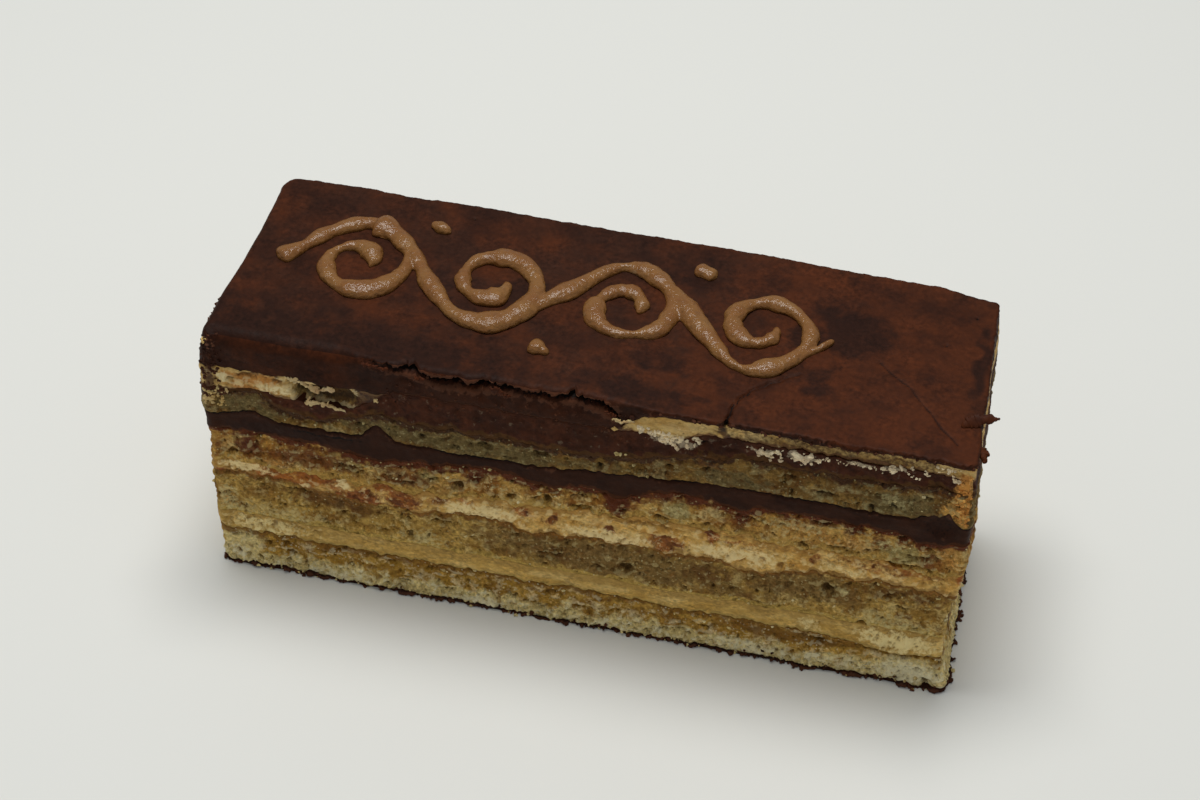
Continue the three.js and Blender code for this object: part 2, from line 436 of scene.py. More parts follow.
@dataclass
class Wall:
    """A layer's cut side as a grid: rows from its lower seam up, columns round the ring.

    Attributes:
        ring: the outline.
        low: height of the lower edge round the ring.
        high: height of the upper edge.
        rows: number of steps up the side.
        front, back, left, right: how far each column faces that way, 0 to 1.
    """

    ring: Ring
    low: Array
    high: Array
    rows: int
    z: Array = field(init=False)
    points: Array = field(init=False)
    front: Array = field(init=False)
    back: Array = field(init=False)
    left: Array = field(init=False)
    right: Array = field(init=False)

    def __post_init__(self) -> None:
        """Spreads the rows evenly between the two edges."""
        ways = (-self.ring.ny, self.ring.ny, -self.ring.nx, self.ring.nx)
        self.front, self.back, self.left, self.right = (np.clip(way, 0, 1)[None] for way in ways)
        share = np.linspace(0, 1, self.rows + 1)[:, None]
        self.z = lerp(self.low[None], self.high[None], share)
        self.points = self.over_plan(self.z)

    def over_plan(self, z: Array) -> Array:
        """Points at the heights given, straight above the outline."""
        x, y = (np.broadcast_to(side, z.shape) for side in (self.ring.x, self.ring.y))
        return points_from(x, y, z)

    @property
    def x(self) -> Array:
        """Place along the slice of every point."""
        return self.points[..., 0]

    @property
    def on_front(self) -> Array:
        """Is 1 on the front face and fades round its corners."""
        return smoothstep(self.front, 0.5, 0.9)

    @property
    def above_floor(self) -> Array:
        """Distance up from the lower edge."""
        return self.z - self.low[None]

    @property
    def below_roof(self) -> Array:
        """Distance down from the upper edge."""
        return self.high[None] - self.z

    def painted(self, blots: Iterable[Blot], noise: Noise, rag: float = 0.6) -> Array:
        """Strength of the blots on the front face.

        Args:
            blots: the spots.
            noise: makes their outlines uneven.
            rag: how far these wander, in mm.

        Returns:
            A value from 0 to 1 for each point.
        """
        total = np.zeros(self.z.shape)
        if not blots:
            return total
        at = noise.warped(self.points, 1.8, rag)
        for blot in blots:
            away = blot.away(at[..., 0], at[..., 2])
            total = np.maximum(total, blot.amount * (1 - smoothstep(away, 0.3, 1.4)))
        return total * self.on_front

    def pushed(self, forms: Iterable[Blot], noise: Noise) -> Array:
        """Height of the bumps and depth of the hollows in the front face, in mm."""
        total = np.zeros(self.z.shape)
        if not forms:
            return total
        at = noise.warped(self.points, 1.5, 0.3)
        for form in forms:
            total += form.amount * (1 - smoothstep(form.away(at[..., 0], at[..., 2]), 0.3, 1.2))
        return total * self.on_front

    def scattered(self, noise: Noise, size: Sequence[float], low: float, high: float) -> Array:
        """Seeded patches on the other three faces, like the front's in size and number."""
        spread = smoothstep(noise.layered(self.points + 53.1, size, 3), low, high)
        return spread * (1 - self.on_front)

    def near_edge(self, away: Array, reach: float, noise: Noise) -> Array:
        """Is 1 at an edge and falls unevenly to 0 at about the reach, in mm."""
        if not reach:
            return np.zeros(self.z.shape)
        wander = noise.layered(self.points + 12, (2.6, 2.6, 1.6), 3, 0.6)
        return 1 - smoothstep(away + 0.5 * reach * wander, 0, reach * 1.2)


def blurred(grid: Array, reach: int) -> Array:
    """Averages a wall's values over a square of points, round the ring and up the side."""
    total = np.zeros_like(grid)
    for shift in range(-reach, reach + 1):
        total += np.roll(grid, shift, axis=1)
    padded = np.pad(total, ((reach, reach), (0, 0)), mode="edge")
    up = np.zeros_like(grid)
    for shift in range(2 * reach + 1):
        up += padded[shift : shift + grid.shape[0]]
    return up / (2 * reach + 1) ** 2


def mark(mesh: bpy.types.Mesh, masks: Marks) -> None:
    """Stores the marks of a mesh's points."""
    for mask, values in masks.items():
        layer = mesh.attributes.new(mask.value, "FLOAT", "POINT")
        layer.data.foreach_set("value", np.asarray(values, np.float32).ravel())


def make_object(
    name: str, verts: Array, faces: Sequence[Array], flat: Sequence[bool], masks: Marks
) -> bpy.types.Object:
    """Makes a mesh object.

    Args:
        name: its name.
        verts: points in mm.
        faces: arrays of faces with the same number of corners.
        flat: for each array, whether it is shaded flat.
        masks: marks of the points.

    Returns:
        The object, linked to the scene.
    """
    mesh = bpy.data.meshes.new(name)
    corners = np.concatenate([f.ravel() for f in faces]).astype(np.int32)
    sizes = np.concatenate([np.full(len(f), f.shape[1]) for f in faces]).astype(np.int32)
    starts = np.concatenate([[0], np.cumsum(sizes)[:-1]]).astype(np.int32)
    mesh.vertices.add(len(verts))
    mesh.vertices.foreach_set("co", (verts * MM).astype(np.float32).ravel())
    mesh.loops.add(len(corners))
    mesh.loops.foreach_set("vertex_index", corners)
    mesh.polygons.add(len(sizes))
    mesh.polygons.foreach_set("loop_start", starts)
    mesh.update(calc_edges=True)
    smooth = np.concatenate([np.full(len(f), not is_flat) for f, is_flat in zip(faces, flat)])
    mesh.polygons.foreach_set("use_smooth", smooth)
    mark(mesh, masks)
    mesh.validate()
    obj = bpy.data.objects.new(name, mesh)
    bpy.context.scene.collection.objects.link(obj)
    return obj


Socket = bpy.types.NodeSocket
Coat = tuple[Socket, str, float]


class Graph:
    """A material's node tree, filled one node at a time. Sizes are in mm."""

    def __init__(self, name: str) -> None:
        """Starts an empty material of that name."""
        self.material = bpy.data.materials.new(name)
        self.material.use_nodes = True
        self.tree = self.material.node_tree
        self.tree.nodes.clear()
        self.place = self.add("TexCoord").outputs["Object"]

    def add(self, kind: str, inputs: dict | None = None, **settings: object) -> bpy.types.Node:
        """Adds one shader node.

        Args:
            kind: its type, without ShaderNode in front.
            inputs: values or sockets for its inputs, by name or number.
            settings: its own properties.

        Returns:
            The node.
        """
        node = self.tree.nodes.new("ShaderNode" + kind)
        for name, value in settings.items():
            setattr(node, name, value)
        for key, value in (inputs or {}).items():
            if isinstance(value, Socket):
                self.tree.links.new(value, node.inputs[key])
            else:
                node.inputs[key].default_value = value
        return node

    def patches(
        self, size: float, low: float, high: float, detail: float = 3.0, squash: float = 1.0
    ) -> Socket:
        """Uneven patches.

        Args:
            size: their size.
            low: value of the noise that stays 0.
            high: value from which it is 1.
            detail: finer sizes on them.
            squash: how much shorter they are upwards.

        Returns:
            A mask from 0 to 1.
        """
        place = self.add("Mapping", {"Vector": self.place, "Scale": (1, 1, squash)}).outputs[0]
        shape = {"Scale": 1 / (size * MM), "Detail": detail, "Roughness": 0.6}
        noise = self.add("TexNoise", {"Vector": place, **shape})
        ramp = {"Value": noise.outputs["Fac"], "From Min": low, "From Max": high}
        return self.add("MapRange", ramp).outputs[0]

    def specks(self, size: float, radius: float, share: float) -> Socket:
        """Small scattered specks.

        Args:
            size: distance between their places.
            radius: a speck's, as a share of that.
            share: how many of the places have one.

        Returns:
            A mask that is 1 on a speck.
        """
        cells = self.add("TexVoronoi", {"Vector": self.place, "Scale": 1 / (size * MM)})
        edge = {"Value": cells.outputs["Distance"], "From Min": radius, "From Max": radius * 0.5}
        dot = self.add("MapRange", edge).outputs[0]
        draw = self.add("SeparateColor", {0: cells.outputs["Color"]}).outputs[0]
        chosen = self.add("Math", {0: draw, 1: share}, operation="LESS_THAN").outputs[0]
        return self.both(dot, chosen)

    def marked(self, mask: Mask, grain: float, soft: float = 0.5) -> Socket:
        """A mesh's mask whose edges dissolve into islands finer than the mesh.

        Args:
            mask: which mask.
            grain: size of the islands.
            soft: how softly each ends.

        Returns:
            The mask, from 0 to 1.
        """
        value = self.add("Attribute", attribute_name=mask.value).outputs["Fac"]
        raised = self.both(value, 1 + soft)
        islands = self.patches(grain, 0.3, 0.7)
        left = self.add("Math", {0: raised, 1: islands}, operation="SUBTRACT").outputs[0]
        return self.add("MapRange", {"Value": left, "From Max": soft}).outputs[0]

    def both(self, a: Socket, b: Socket | float) -> Socket:
        """One value times another, so of two masks, where both are."""
        return self.add("Math", {0: a, 1: b}, operation="MULTIPLY").outputs[0]

    def coloured(self, base: str | Socket, coats: Sequence[Coat] = ()) -> Socket:
        """Lays colours over each other.

        Args:
            base: the colour underneath, in hex or as a socket.
            coats: of each on it, where it shows, its hex colour and how strongly it covers.

        Returns:
            The colour.
        """
        colour = base
        if isinstance(base, str):
            colour = self.add("RGB").outputs[0]
            colour.default_value = linear(base)
        for where, code, cover in coats:
            mix = {0: self.both(where, cover), 6: colour, 7: linear(code)}
            colour = self.add("Mix", mix, data_type="RGBA").outputs[2]
        return colour

    def grained(self, colour: Socket, size: float, contrast: float, squash: float = 1.0) -> Socket:
        """Darkens and lightens a colour unevenly, more in some patches than in others.

        Args:
            colour: the colour.
            size: of the grain.
            contrast: how much darker and lighter it gets, as a share.
            squash: how much shorter the grain is upwards.

        Returns:
            The colour.
        """
        grain = self.patches(size, 0.34, 0.66, 5.0, squash)
        level = {"Value": grain, "To Min": 1 - contrast, "To Max": 1 + contrast}
        factor = self.add("MapRange", level).outputs[0]
        share = self.add("MapRange", {"Value": self.patches(4.0, 0.4, 0.62), "To Min": 0.35}).outputs[0]
        factor = self.add("Mix", {0: share, 2: 1.0, 3: factor}, data_type="FLOAT").outputs[0]
        shade = {0: 1.0, 6: colour, 7: factor}
        return self.add("Mix", shade, data_type="RGBA", blend_type="MULTIPLY").outputs[2]

    def finished(self, shader_inputs: dict, height: Socket, depth: float) -> bpy.types.Material:
        """Closes the tree with the surface shader.

        Args:
            shader_inputs: its values and sockets.
            height: the fine relief.
            depth: how deep that is.

        Returns:
            The material.
        """
        bump = self.add("Bump", {"Height": height, "Distance": depth * MM, "Strength": 1.0}).outputs[0]
        shader = self.add("BsdfPrincipled", {**shader_inputs, "Normal": bump})
        self.add("OutputMaterial", {"Surface": shader.outputs[0]})
        return self.material


@dataclass(frozen=True)
class FoodFinish:
    """What the finishes of the layers have in common.

    Attributes:
        body: the food's own colour, in sRGB hex like all others.
        other: its colour in broad patches, where it is drier, denser or thinner; on the glaze also painted
            sheen on the top and painted light on the skirt.
        toast: crumb browned by the oven, at the edge of a sheet.
        grey: parts that have lost their yellow or their warmth; on the ganache, in the top cream and on the
            glaze's top also painted shade.
        pale: dry or scraped edges and loose crumbs; also the painted highlight on raised points, and
            painted light at the left end of the two lower sponges.
        shade_and_stain: painted shade inside a bubble, tear, crack or pore; in the sponge it also deepens
            stains in patches.
        roof: what has run in from the layer above.
        floor: what has been drawn up from the layer below.
        contrast: how much its grain differs in lightness.
    """

    body: str
    other: str
    toast: str = "d09a52"
    grey: str = "8f8558"
    pale: str = "e0cf9a"
    shade_and_stain: str = "42280c"
    roof: str = "5a2e14"
    floor: str = "7a5426"
    contrast: float = 0.55

    def material(self, name: str) -> bpy.types.Material:
        """Builds the material of that name. Each food has its own."""
        raise NotImplementedError


@dataclass(frozen=True)
class SpongeFinish(FoodFinish):
    """Almond sponge (joconde), baked in a sheet, soaked with coffee syrup and cut with a long knife.

    The open crumb is dull, with painted highlights on the crumbs' tops and painted shade in cut bubbles.
    Syrup and melted chocolate turn it darker and redder, with a broken edge, and leave it a little shiny.

    Attributes:
        soaked: the crumb full of syrup.
        grain: size of a crumb, in mm.
    """

    soaked: str = "7a4018"
    grain: float = 0.55

    def material(self, name: str) -> bpy.types.Material:
        """Builds the material of that name."""
        g = Graph(name)
        soak = g.marked(Mask.SOAK_AND_SHADING, 0.9, 0.9)
        stained = (
            (g.patches(3.6, 0.38, 0.62, detail=4), self.other, 0.95),
            (g.patches(5.2, 0.49, 0.64, detail=5), self.soaked, 0.6),
            (g.patches(2.2, 0.52, 0.66, detail=4), self.pale, 0.4),
            (g.marked(Mask.GREY, 1.2, 0.9), self.grey, 0.85),
            (soak, self.soaked, 0.8),
            (g.patches(1.5, 0.52, 0.66, detail=5), self.soaked, 0.6),
            (g.both(soak, g.patches(1.1, 0.48, 0.62)), self.shade_and_stain, 0.5),
            (g.marked(Mask.TOAST, 0.7, 0.9), self.toast, 0.9),
            (g.marked(Mask.FLOOR, 1.0), self.floor, 0.9),
            (g.marked(Mask.ROOF, 1.0), self.roof, 0.9),
        )
        colour = g.coloured(self.body, stained)
        # Broader than a real crumb of a quarter of a millimetre, so that it can still be made out
        colour = g.grained(colour, self.grain, self.contrast)
        # Painted highlights on raised crumbs, and painted shade in pores and hollows
        crumbs = (
            (g.marked(Mask.PAINTED_HIGHLIGHT, 0.5), self.pale, 0.3),
            (g.specks(self.grain * 0.9, 0.34, 0.16), self.pale, 0.5),
            (g.specks(self.grain * 1.4, 0.24, 0.08), self.shade_and_stain, 0.5),
            (g.marked(Mask.PALE, 0.6, 0.8), self.pale, 0.85),
            (g.marked(Mask.PAINTED_SHADE, 0.4, 0.9), self.shade_and_stain, 0.75),
        )
        colour = g.coloured(colour, crumbs)
        rough = g.add("MapRange", {"Value": soak, "To Min": 0.85, "To Max": 0.55}).outputs[0]
        shader = {"Base Color": colour, "Roughness": rough, "IOR": 1.4, "Specular IOR Level": 0.2}
        return g.finished(shader, g.patches(self.grain * 0.7, 0.2, 0.8, detail=4), 0.3)


@dataclass(frozen=True)
class ButtercreamFinish(FoodFinish):
    """Coffee buttercream, spread with a palette knife, chilled and cut.

    A cut through it is smooth and waxy, with knife drags along the slice. Where it is torn it is paler
    and crumbly, and syrup from the sponge stains it orange-brown.

    Attributes:
        soaked: where syrup has run into it; in the top cream also painted shade at the crack's mouth.
        cored: the middle of such a stain; in the top cream also part of the painted shade at the crack's
            mouth.
    """

    toast: str = "c88e46"
    grey: str = "8a7a50"
    pale: str = "f0e4c0"
    shade_and_stain: str = "6a4618"
    roof: str = "a8854a"
    floor: str = "8a6c38"
    contrast: float = 0.2
    soaked: str = "9a5420"
    cored: str = "5c3012"

    def material(self, name: str) -> bpy.types.Material:
        """Builds the material of that name."""
        g = Graph(name)
        soak = g.marked(Mask.SOAK_AND_SHADING, 0.6, 0.8)
        mixed = (
            (g.patches(2.6, 0.38, 0.62, detail=5, squash=2.2), self.other, 0.9),
            (g.patches(6.0, 0.48, 0.62, detail=4, squash=2.6), self.pale, 0.22),
            (g.marked(Mask.GREY, 0.7, 0.9), self.grey, 0.9),
            (g.marked(Mask.FLOOR, 0.9, 0.9), self.floor, 0.85),
            (g.marked(Mask.ROOF, 0.9, 0.9), self.roof, 0.85),
            (soak, self.soaked, 0.85),
            (g.both(soak, g.patches(1.6, 0.44, 0.6, detail=5)), self.cored, 0.75),
            (g.marked(Mask.TOAST, 0.7, 0.9), self.toast, 0.9),
        )
        colour = g.coloured(self.body, mixed)
        colour = g.grained(colour, 0.6, self.contrast, squash=1.6)
        # Painted highlights on raised lumps and painted shade in hollows, besides the paler torn places
        torn = (
            (g.marked(Mask.PAINTED_HIGHLIGHT, 0.5), self.pale, 0.4),
            (g.marked(Mask.PALE, 0.6), self.pale, 0.9),
            (g.marked(Mask.PAINTED_SHADE, 0.4, 0.9), self.shade_and_stain, 0.6),
        )
        colour = g.coloured(colour, torn)
        shader = {"Base Color": colour, "Roughness": 0.6, "IOR": 1.46, "Specular IOR Level": 0.25}
        return g.finished(shader, g.patches(0.5, 0.2, 0.8, detail=4, squash=1.8), 0.08)


@dataclass(frozen=True)
class ChocolateFinish(FoodFinish):
    """Dark chocolate ganache or glaze, poured or spread, and set.

    The set face is satin and nearly black-brown, redder where it is thin, with dull patches and, where it
    is broken, small paler grains.

    Attributes:
        patch: size of the patches, in mm.
        roughness: of the set face.
        grain: depth of the fine relief, in mm.
    """

    toast: str = "b87e42"
    grey: str = "231615"
    pale: str = "8a5a42"
    shade_and_stain: str = "0a0605"
    roof: str = "35211a"
    floor: str = "35211a"
    contrast: float = 0.15
    patch: float = 6.0
    roughness: float = 0.48
    grain: float = 0.03

    def material(self, name: str) -> bpy.types.Material:
        """Builds the material of that name."""
        g = Graph(name)
        mixed = (
            (g.patches(self.patch, 0.38, 0.62, detail=6), self.other, 0.85),
            # On the glaze this is painted sheen on the top and painted light on the skirt
            (g.marked(Mask.SOAK_AND_SHADING, 1.6, 0.9), self.other, 0.85),
            (g.patches(self.patch * 0.8, 0.46, 0.64, detail=6), self.grey, 0.55),
            (g.patches(self.patch * 1.7, 0.5, 0.64, detail=5), self.grey, 0.5),
            # Painted shade on the ganache and painted shadows on the glaze's top, with the glaze's scratch
            (g.marked(Mask.GREY, 2.2, 0.8), self.grey, 0.85),
            (g.marked(Mask.FLOOR, 0.9), self.floor, 0.85),
            (g.marked(Mask.ROOF, 0.9), self.roof, 0.85),
        )
        colour = g.coloured(self.body, mixed)
        colour = g.grained(colour, 0.7, self.contrast)
        # Painted highlights on raised grains and painted shade in hollows, besides the pale and toasted
        # places
        broken = (
            (g.marked(Mask.PAINTED_HIGHLIGHT, 0.5), self.pale, 0.2),
            (g.marked(Mask.PALE, 0.5), self.pale, 0.8),
            (g.marked(Mask.TOAST, 0.7, 0.9), self.toast, 0.9),
            (g.marked(Mask.PAINTED_SHADE, 0.4), self.shade_and_stain, 0.9),
        )
        colour = g.coloured(colour, broken)
        worn = g.patches(0.9, 0.35, 0.75)
        dull = {"Value": worn, "To Min": self.roughness, "To Max": self.roughness + 0.16}
        rough = g.add("MapRange", dull).outputs[0]
        shader = {"Base Color": colour, "Roughness": rough, "IOR": 1.5, "Specular IOR Level": 0.06}
        return g.finished(shader, g.patches(0.35, 0.2, 0.8, detail=4), self.grain)


@dataclass(frozen=True)
class PipingFinish:
    """Milk chocolate thinned with cream and piped from a paper cone.

    It is glossy and pebbled, so that each small bump facing the light gives a spark.

    Attributes:
        body: its colour.
        warm: thicker, redder parts.
        pale: thin ends that have dried.
        fleck: small brown grains in it.
    """

    body: str = "79542b"
    warm: str = "6e4520"
    pale: str = "8c7050"
    fleck: str = "4a2818"

    def material(self, name: str) -> bpy.types.Material:
        """Builds the material of that name."""
        g = Graph(name)
        mixed = (
            (g.patches(3.0, 0.35, 0.65), self.warm, 0.8),
            (g.marked(Mask.PALE, 0.8), self.pale, 0.7),
            (g.marked(Mask.SOAK_AND_SHADING, 0.5), self.fleck, 0.7),
        )
        colour = g.grained(g.coloured(self.body, mixed), 0.6, 0.15)
        shader = {"Base Color": colour, "Roughness": 0.2, "IOR": 1.48, "Specular IOR Level": 0.36}
        return g.finished(shader, g.patches(0.7, 0.3, 0.7), 0.09)


Finish = FoodFinish | PipingFinish


def placed(obj: bpy.types.Object, finish: Finish, node: str = "") -> bpy.types.Object:
    """Gives a piece its finish and ties it to the slice.

    Args:
        obj: the piece.
        finish: what it is made of.
        node: the solid that it stands for, if any.

    Returns:
        The piece.
    """
    obj.data.materials.append(finish.material(f"{obj.name}_finish"))
    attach(obj, "root")
    if node:
        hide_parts(node)
    return obj


@dataclass
class Layer:
    """One layer of the slice, from the seam below it to the seam above it.

    Attributes:
        node: the solid it stands for.
        floor: name of the seam below.
        roof: name of the seam above.
        finish: what it is made of.
        slot: name of a material slot; not used.
        soak, pale, grey, toast: spots of the front that are stained, dry, greyish or toasted; a few, where
            noted, are painted light or painted shade instead.
        shade_marks: spots of it with painted shade.
        torn: where it is rougher.
        runs: where the layer above has run down over it.
        forms: bumps and hollows in it, their amount a height in mm.
        from_roof: how far the layer above has run into this one, in mm.
        from_floor: how far the layer below has mixed into it.
        meets: how far from a seam its relief fades, so that the face runs on into its neighbour's.
    """

    node: str
    floor: str
    roof: str
    finish: Finish
    slot: str = ""
    soak: Blots = ()
    pale: Blots = ()
    grey: Blots = ()
    shade_marks: Blots = ()
    torn: Blots = ()
    toast: Blots = ()
    runs: Blots = ()
    forms: Blots = ()
    from_roof: float = 0.0
    from_floor: float = 0.0
    meets: float = 0.6

    def __post_init__(self) -> None:
        """Gives each layer noise of its own, next to the noise that all layers share."""
        self.noise = Noise(SEED + sum(map(ord, self.node)))
        self.shared = Noise(SEED)

    def seams(self, ring: Ring) -> tuple[Array, Array]:
        """Heights of the lower and the upper edge round the ring."""
        low, high = (SEAMS[name].height(ring.x, ring.y, self.shared) for name in (self.floor, self.roof))
        under_glaze = SEAMS["top_cream_bottom"].height(ring.x, ring.y, self.shared)
        if self.roof == "top_cream_top":
            high = lerp(high, under_glaze, self.pinch(ring))
        if self.floor == "top_cream_top":
            low = lerp(low, under_glaze, self.pinch(ring))
        return low, np.maximum(high, low + 0.05)

    @staticmethod
    def pinch(ring: Ring) -> Array:
        """Where glaze dragged down the front covers the top cream."""
        return within(ring.x, SMEAR) * np.clip(-ring.ny, 0, 1)

    def relief(self, wall: Wall) -> Array:
        """How far each point of the cut side stands out, in mm. Each kind of layer has its own."""
        raise NotImplementedError

    def marks(self, wall: Wall) -> Marks:
        """Marks of the cut side's points. Each kind of layer adds its own."""
        n = self.noise
        return {
            Mask.SOAK_AND_SHADING: wall.painted(self.soak, n),
            Mask.PALE: wall.painted(self.pale, n),
            Mask.GREY: wall.painted(self.grey, n, 1.0),
            # Painted shade in the listed spots
            Mask.PAINTED_SHADE: wall.painted(self.shade_marks, n, 0.4),
            Mask.TOAST: wall.painted(self.toast, n),
            Mask.ROOF: np.maximum(
                wall.near_edge(wall.below_roof, self.from_roof, n), wall.painted(self.runs, n)
            ),
            Mask.FLOOR: wall.near_edge(wall.above_floor, self.from_floor, n),
        }

    @staticmethod
    def raised(marks: Marks, mask: Mask, *values: Array) -> None:
        """Raises a mark to each of the values where they are higher."""
        for value in values:
            marks[mask] = np.maximum(marks[mask], value)

    def set_back(self, wall: Wall) -> Array:
        """How far the side is drawn back, in mm, whatever its relief; not at all by default."""
        return np.zeros(wall.z.shape)

    def stand(self, wall: Wall) -> Array:
        """How far the faces stand out: the ends' profiles, the back's bow and the knife's waver."""
        bow = BACK_BOW * (1 - smoothstep(wall.x, *BACK_BOW_FADE)) * wall.back
        ends = wall.left * end_profile(wall.z, LEFT_END) + wall.right * end_profile(wall.z, RIGHT_END)
        return bow + ends + WAVER * self.shared.layered(wall.points, (9, 9, 6), 2)

    def inside(self, wall: Wall) -> Array:
        """Distance from the nearest seam, over which the relief comes up."""
        return np.minimum(wall.above_floor, wall.below_roof)

    def shaped(self, wall: Wall) -> tuple[Array, Marks]:
        """Points and marks of the side, in mm, with its relief."""
        share = smoothstep(self.inside(wall), -0.3 * self.meets, self.meets)
        out = self.relief(wall) * share - self.set_back(wall) + wall.pushed(self.forms, self.noise)
        level = blurred(out, LEVEL_REACH)
        marks = self.marks(wall)
        # Painted shade where the relief lies below its surroundings, and a painted highlight where it rises
        # above them
        self.raised(marks, Mask.PAINTED_SHADE, np.clip((level - out - SUNK_FROM) / SUNK_OVER, 0, 1))
        marks[Mask.PAINTED_HIGHLIGHT] = np.clip((out - level - PROUD_FROM) / PROUD_OVER, 0, 1)
        out = out + self.stand(wall)
        side = wall.points.copy()
        slant = SLANT * smoothstep(wall.x, *SLANT_ALONG) * smoothstep(side[..., 1], 0, WIDTH / 2)
        side[..., 0] += out * wall.ring.nx
        side[..., 1] += out * wall.ring.ny - slant
        return side, marks

    def build(self, ring: Ring) -> bpy.types.Object:
        """Makes the layer's mesh.

        Args:
            ring: the slice's outline.

        Returns:
            The mesh object, dressed and placed.
        """
        low, high = self.seams(ring)
        rows = max(3, round(float(np.mean(high - low)) / ROW_HEIGHT))
        wall = Wall(ring, low, high, rows)
        side, marks = self.shaped(wall)
        self.side = side
        verts, caps = [side.reshape(-1, 3)], []
        first = side[..., 0].size
        for row, name, turned in ((0, self.floor, True), (rows, self.roof, False)):
            verts.append(self.spine(name))
            caps += spine_faces(ring, row * ring.count, first, len(verts[-1]), turned)
            first += len(verts[-1])
        spare = first - side[..., 0].size
        masks = {mask: np.concatenate([value.ravel(), np.zeros(spare)]) for mask, value in marks.items()}
        shapes = [wall_faces(rows + 1, ring.count), *caps]
        flat = [False] + [True] * len(caps)
        obj = make_object(f"{self.node}_layer", np.concatenate(verts), shapes, flat, masks)
        return placed(obj, self.finish, self.node)

    def spine(self, name: str) -> Array:
        """Points along the slice's middle at a seam's height."""
        x = np.linspace(-1, 1, SPINE_STEPS) * (LENGTH - WIDTH) / 2
        return points_from(x, 0 * x, SEAMS[name].height(x, 0 * x, self.shared))


def wall_faces(rows: int, count: int) -> Array:
    """Quads between the rows of a wall that closes round on itself."""
    row, column = np.meshgrid(np.arange(rows - 1) * count, np.arange(count), indexing="ij")
    beside = (column + 1) % count
    quads = [row + column, row + beside, row + count + beside, row + count + column]
    return np.stack([q.ravel() for q in quads], axis=-1)


def spine_faces(ring: Ring, start: int, spine: int, length: int, turned: bool) -> list[Array]:
    """Faces from one row of a wall in to a line along the middle.

    Args:
        ring: the outline.
        start: number of the row's first point.
        spine: number of the line's first point.
        length: points of the line.
        turned: whether the faces look down.

    Returns:
        Triangles and quads.
    """
    reach = (LENGTH - WIDTH) / 2
    nearest = np.clip(np.rint((ring.x + reach) / (2 * reach) * (length - 1)), 0, length - 1).astype(int)
    here = np.arange(ring.count)
    beside = (here + 1) % ring.count
    same = nearest[here] == nearest[beside]
    triangles = np.stack([start + here, start + beside, spine + nearest], axis=-1)[same]
    corners = [start + here, start + beside, spine + nearest[beside], spine + nearest]
    quads = np.stack(corners, axis=-1)[~same]
    return [part[:, ::-1] if turned else part for part in (triangles, quads) if len(part)]


@dataclass
class SpongeLayer(Layer):
    """A sheet of sponge: open crumb with bubbles, tears and, where it is dry, loose grains.

    Attributes:
        wet_top: how far syrup has soaked in from above, in mm.
        dry_bottom: height of dry, grainy crumb along the lower edge.
        roughness: strength of the relief.
    """

    wet_top: float = 1.2
    dry_bottom: float = 0.0
    roughness: float = 1.0

    def relief(self, wall: Wall) -> Array:
        """Crumb, grains, bubbles and tears."""
        n, p = self.noise, wall.points
        torn = np.maximum(wall.painted(self.torn, n), 0.6 * wall.scattered(n, (14, 14, 5), 0.2, 0.5))
        torn = np.maximum(torn, self.dryness(wall))
        out = 0.38 * n.layered(n.warped(p, 3.0, 0.9), (3.0, 3.0, 2.2), 3, 0.6)
        grain, _ = n.cells(n.warped(p, 0.8, 0.35), 0.8)
        patchy = smoothstep(n.layered(p + 15, 4.0, 2), -0.3, 0.5)
        out += (0.04 + 0.1 * patchy + 0.18 * torn) * domed(grain) + 0.11 * n.layered(p + 60, 1.0, 3, 0.7)
        bubble, draw = n.cells(n.warped(p, 1.0, 0.6), 1.2)
        out -= 0.34 * smoothstep(0.4 - bubble, 0, 0.3) * (draw > 0.6)
        bubble, draw = n.cells(n.warped(p + 40, 1.3, 1.0), 3.4)
        out -= 0.5 * smoothstep(0.22 - bubble, 0, 0.16) * (draw > 0.6)
        out -= 0.5 * smoothstep(n.layered(p, (3.4, 3.4, 1.7), 4, 0.6), 0.5, 0.85)
        return out * self.roughness * (1 - 0.4 * wall.left)

    def dryness(self, wall: Wall) -> Array:
        """Where the crumb is dry and grainy along the lower edge."""
        if not self.dry_bottom:
            return np.zeros(wall.z.shape)
        wander = 1.6 * self.noise.layered(wall.points, 3.4, 3)
        return 1 - smoothstep(wall.above_floor + wander, self.dry_bottom * 0.5, self.dry_bottom * 1.4)

    def marks(self, wall: Wall) -> Marks:
        """Adds the soaked band under the upper edge, patches and the dry crumb."""
        marks = super().marks(wall)
        n = self.noise
        band = 0.8 * wall.near_edge(wall.below_roof, self.wet_top * 1.6, n)
        spread = 0.8 * wall.scattered(n, (9, 9, 4), 0.2, 0.9)
        self.raised(marks, Mask.SOAK_AND_SHADING, band, spread)
        greyed = 0.8 * wall.scattered(self.shared, (11, 11, 5), 0.2, 0.9)
        dry = self.dryness(wall)
        self.raised(marks, Mask.GREY, dry, greyed)
        marks[Mask.SOAK_AND_SHADING] *= 1 - 0.8 * dry
        speckled = smoothstep(n.layered(wall.points + 3, 1.0, 2), 0.0, 0.9)
        self.raised(marks, Mask.PALE, 0.85 * dry * speckled)
        return marks


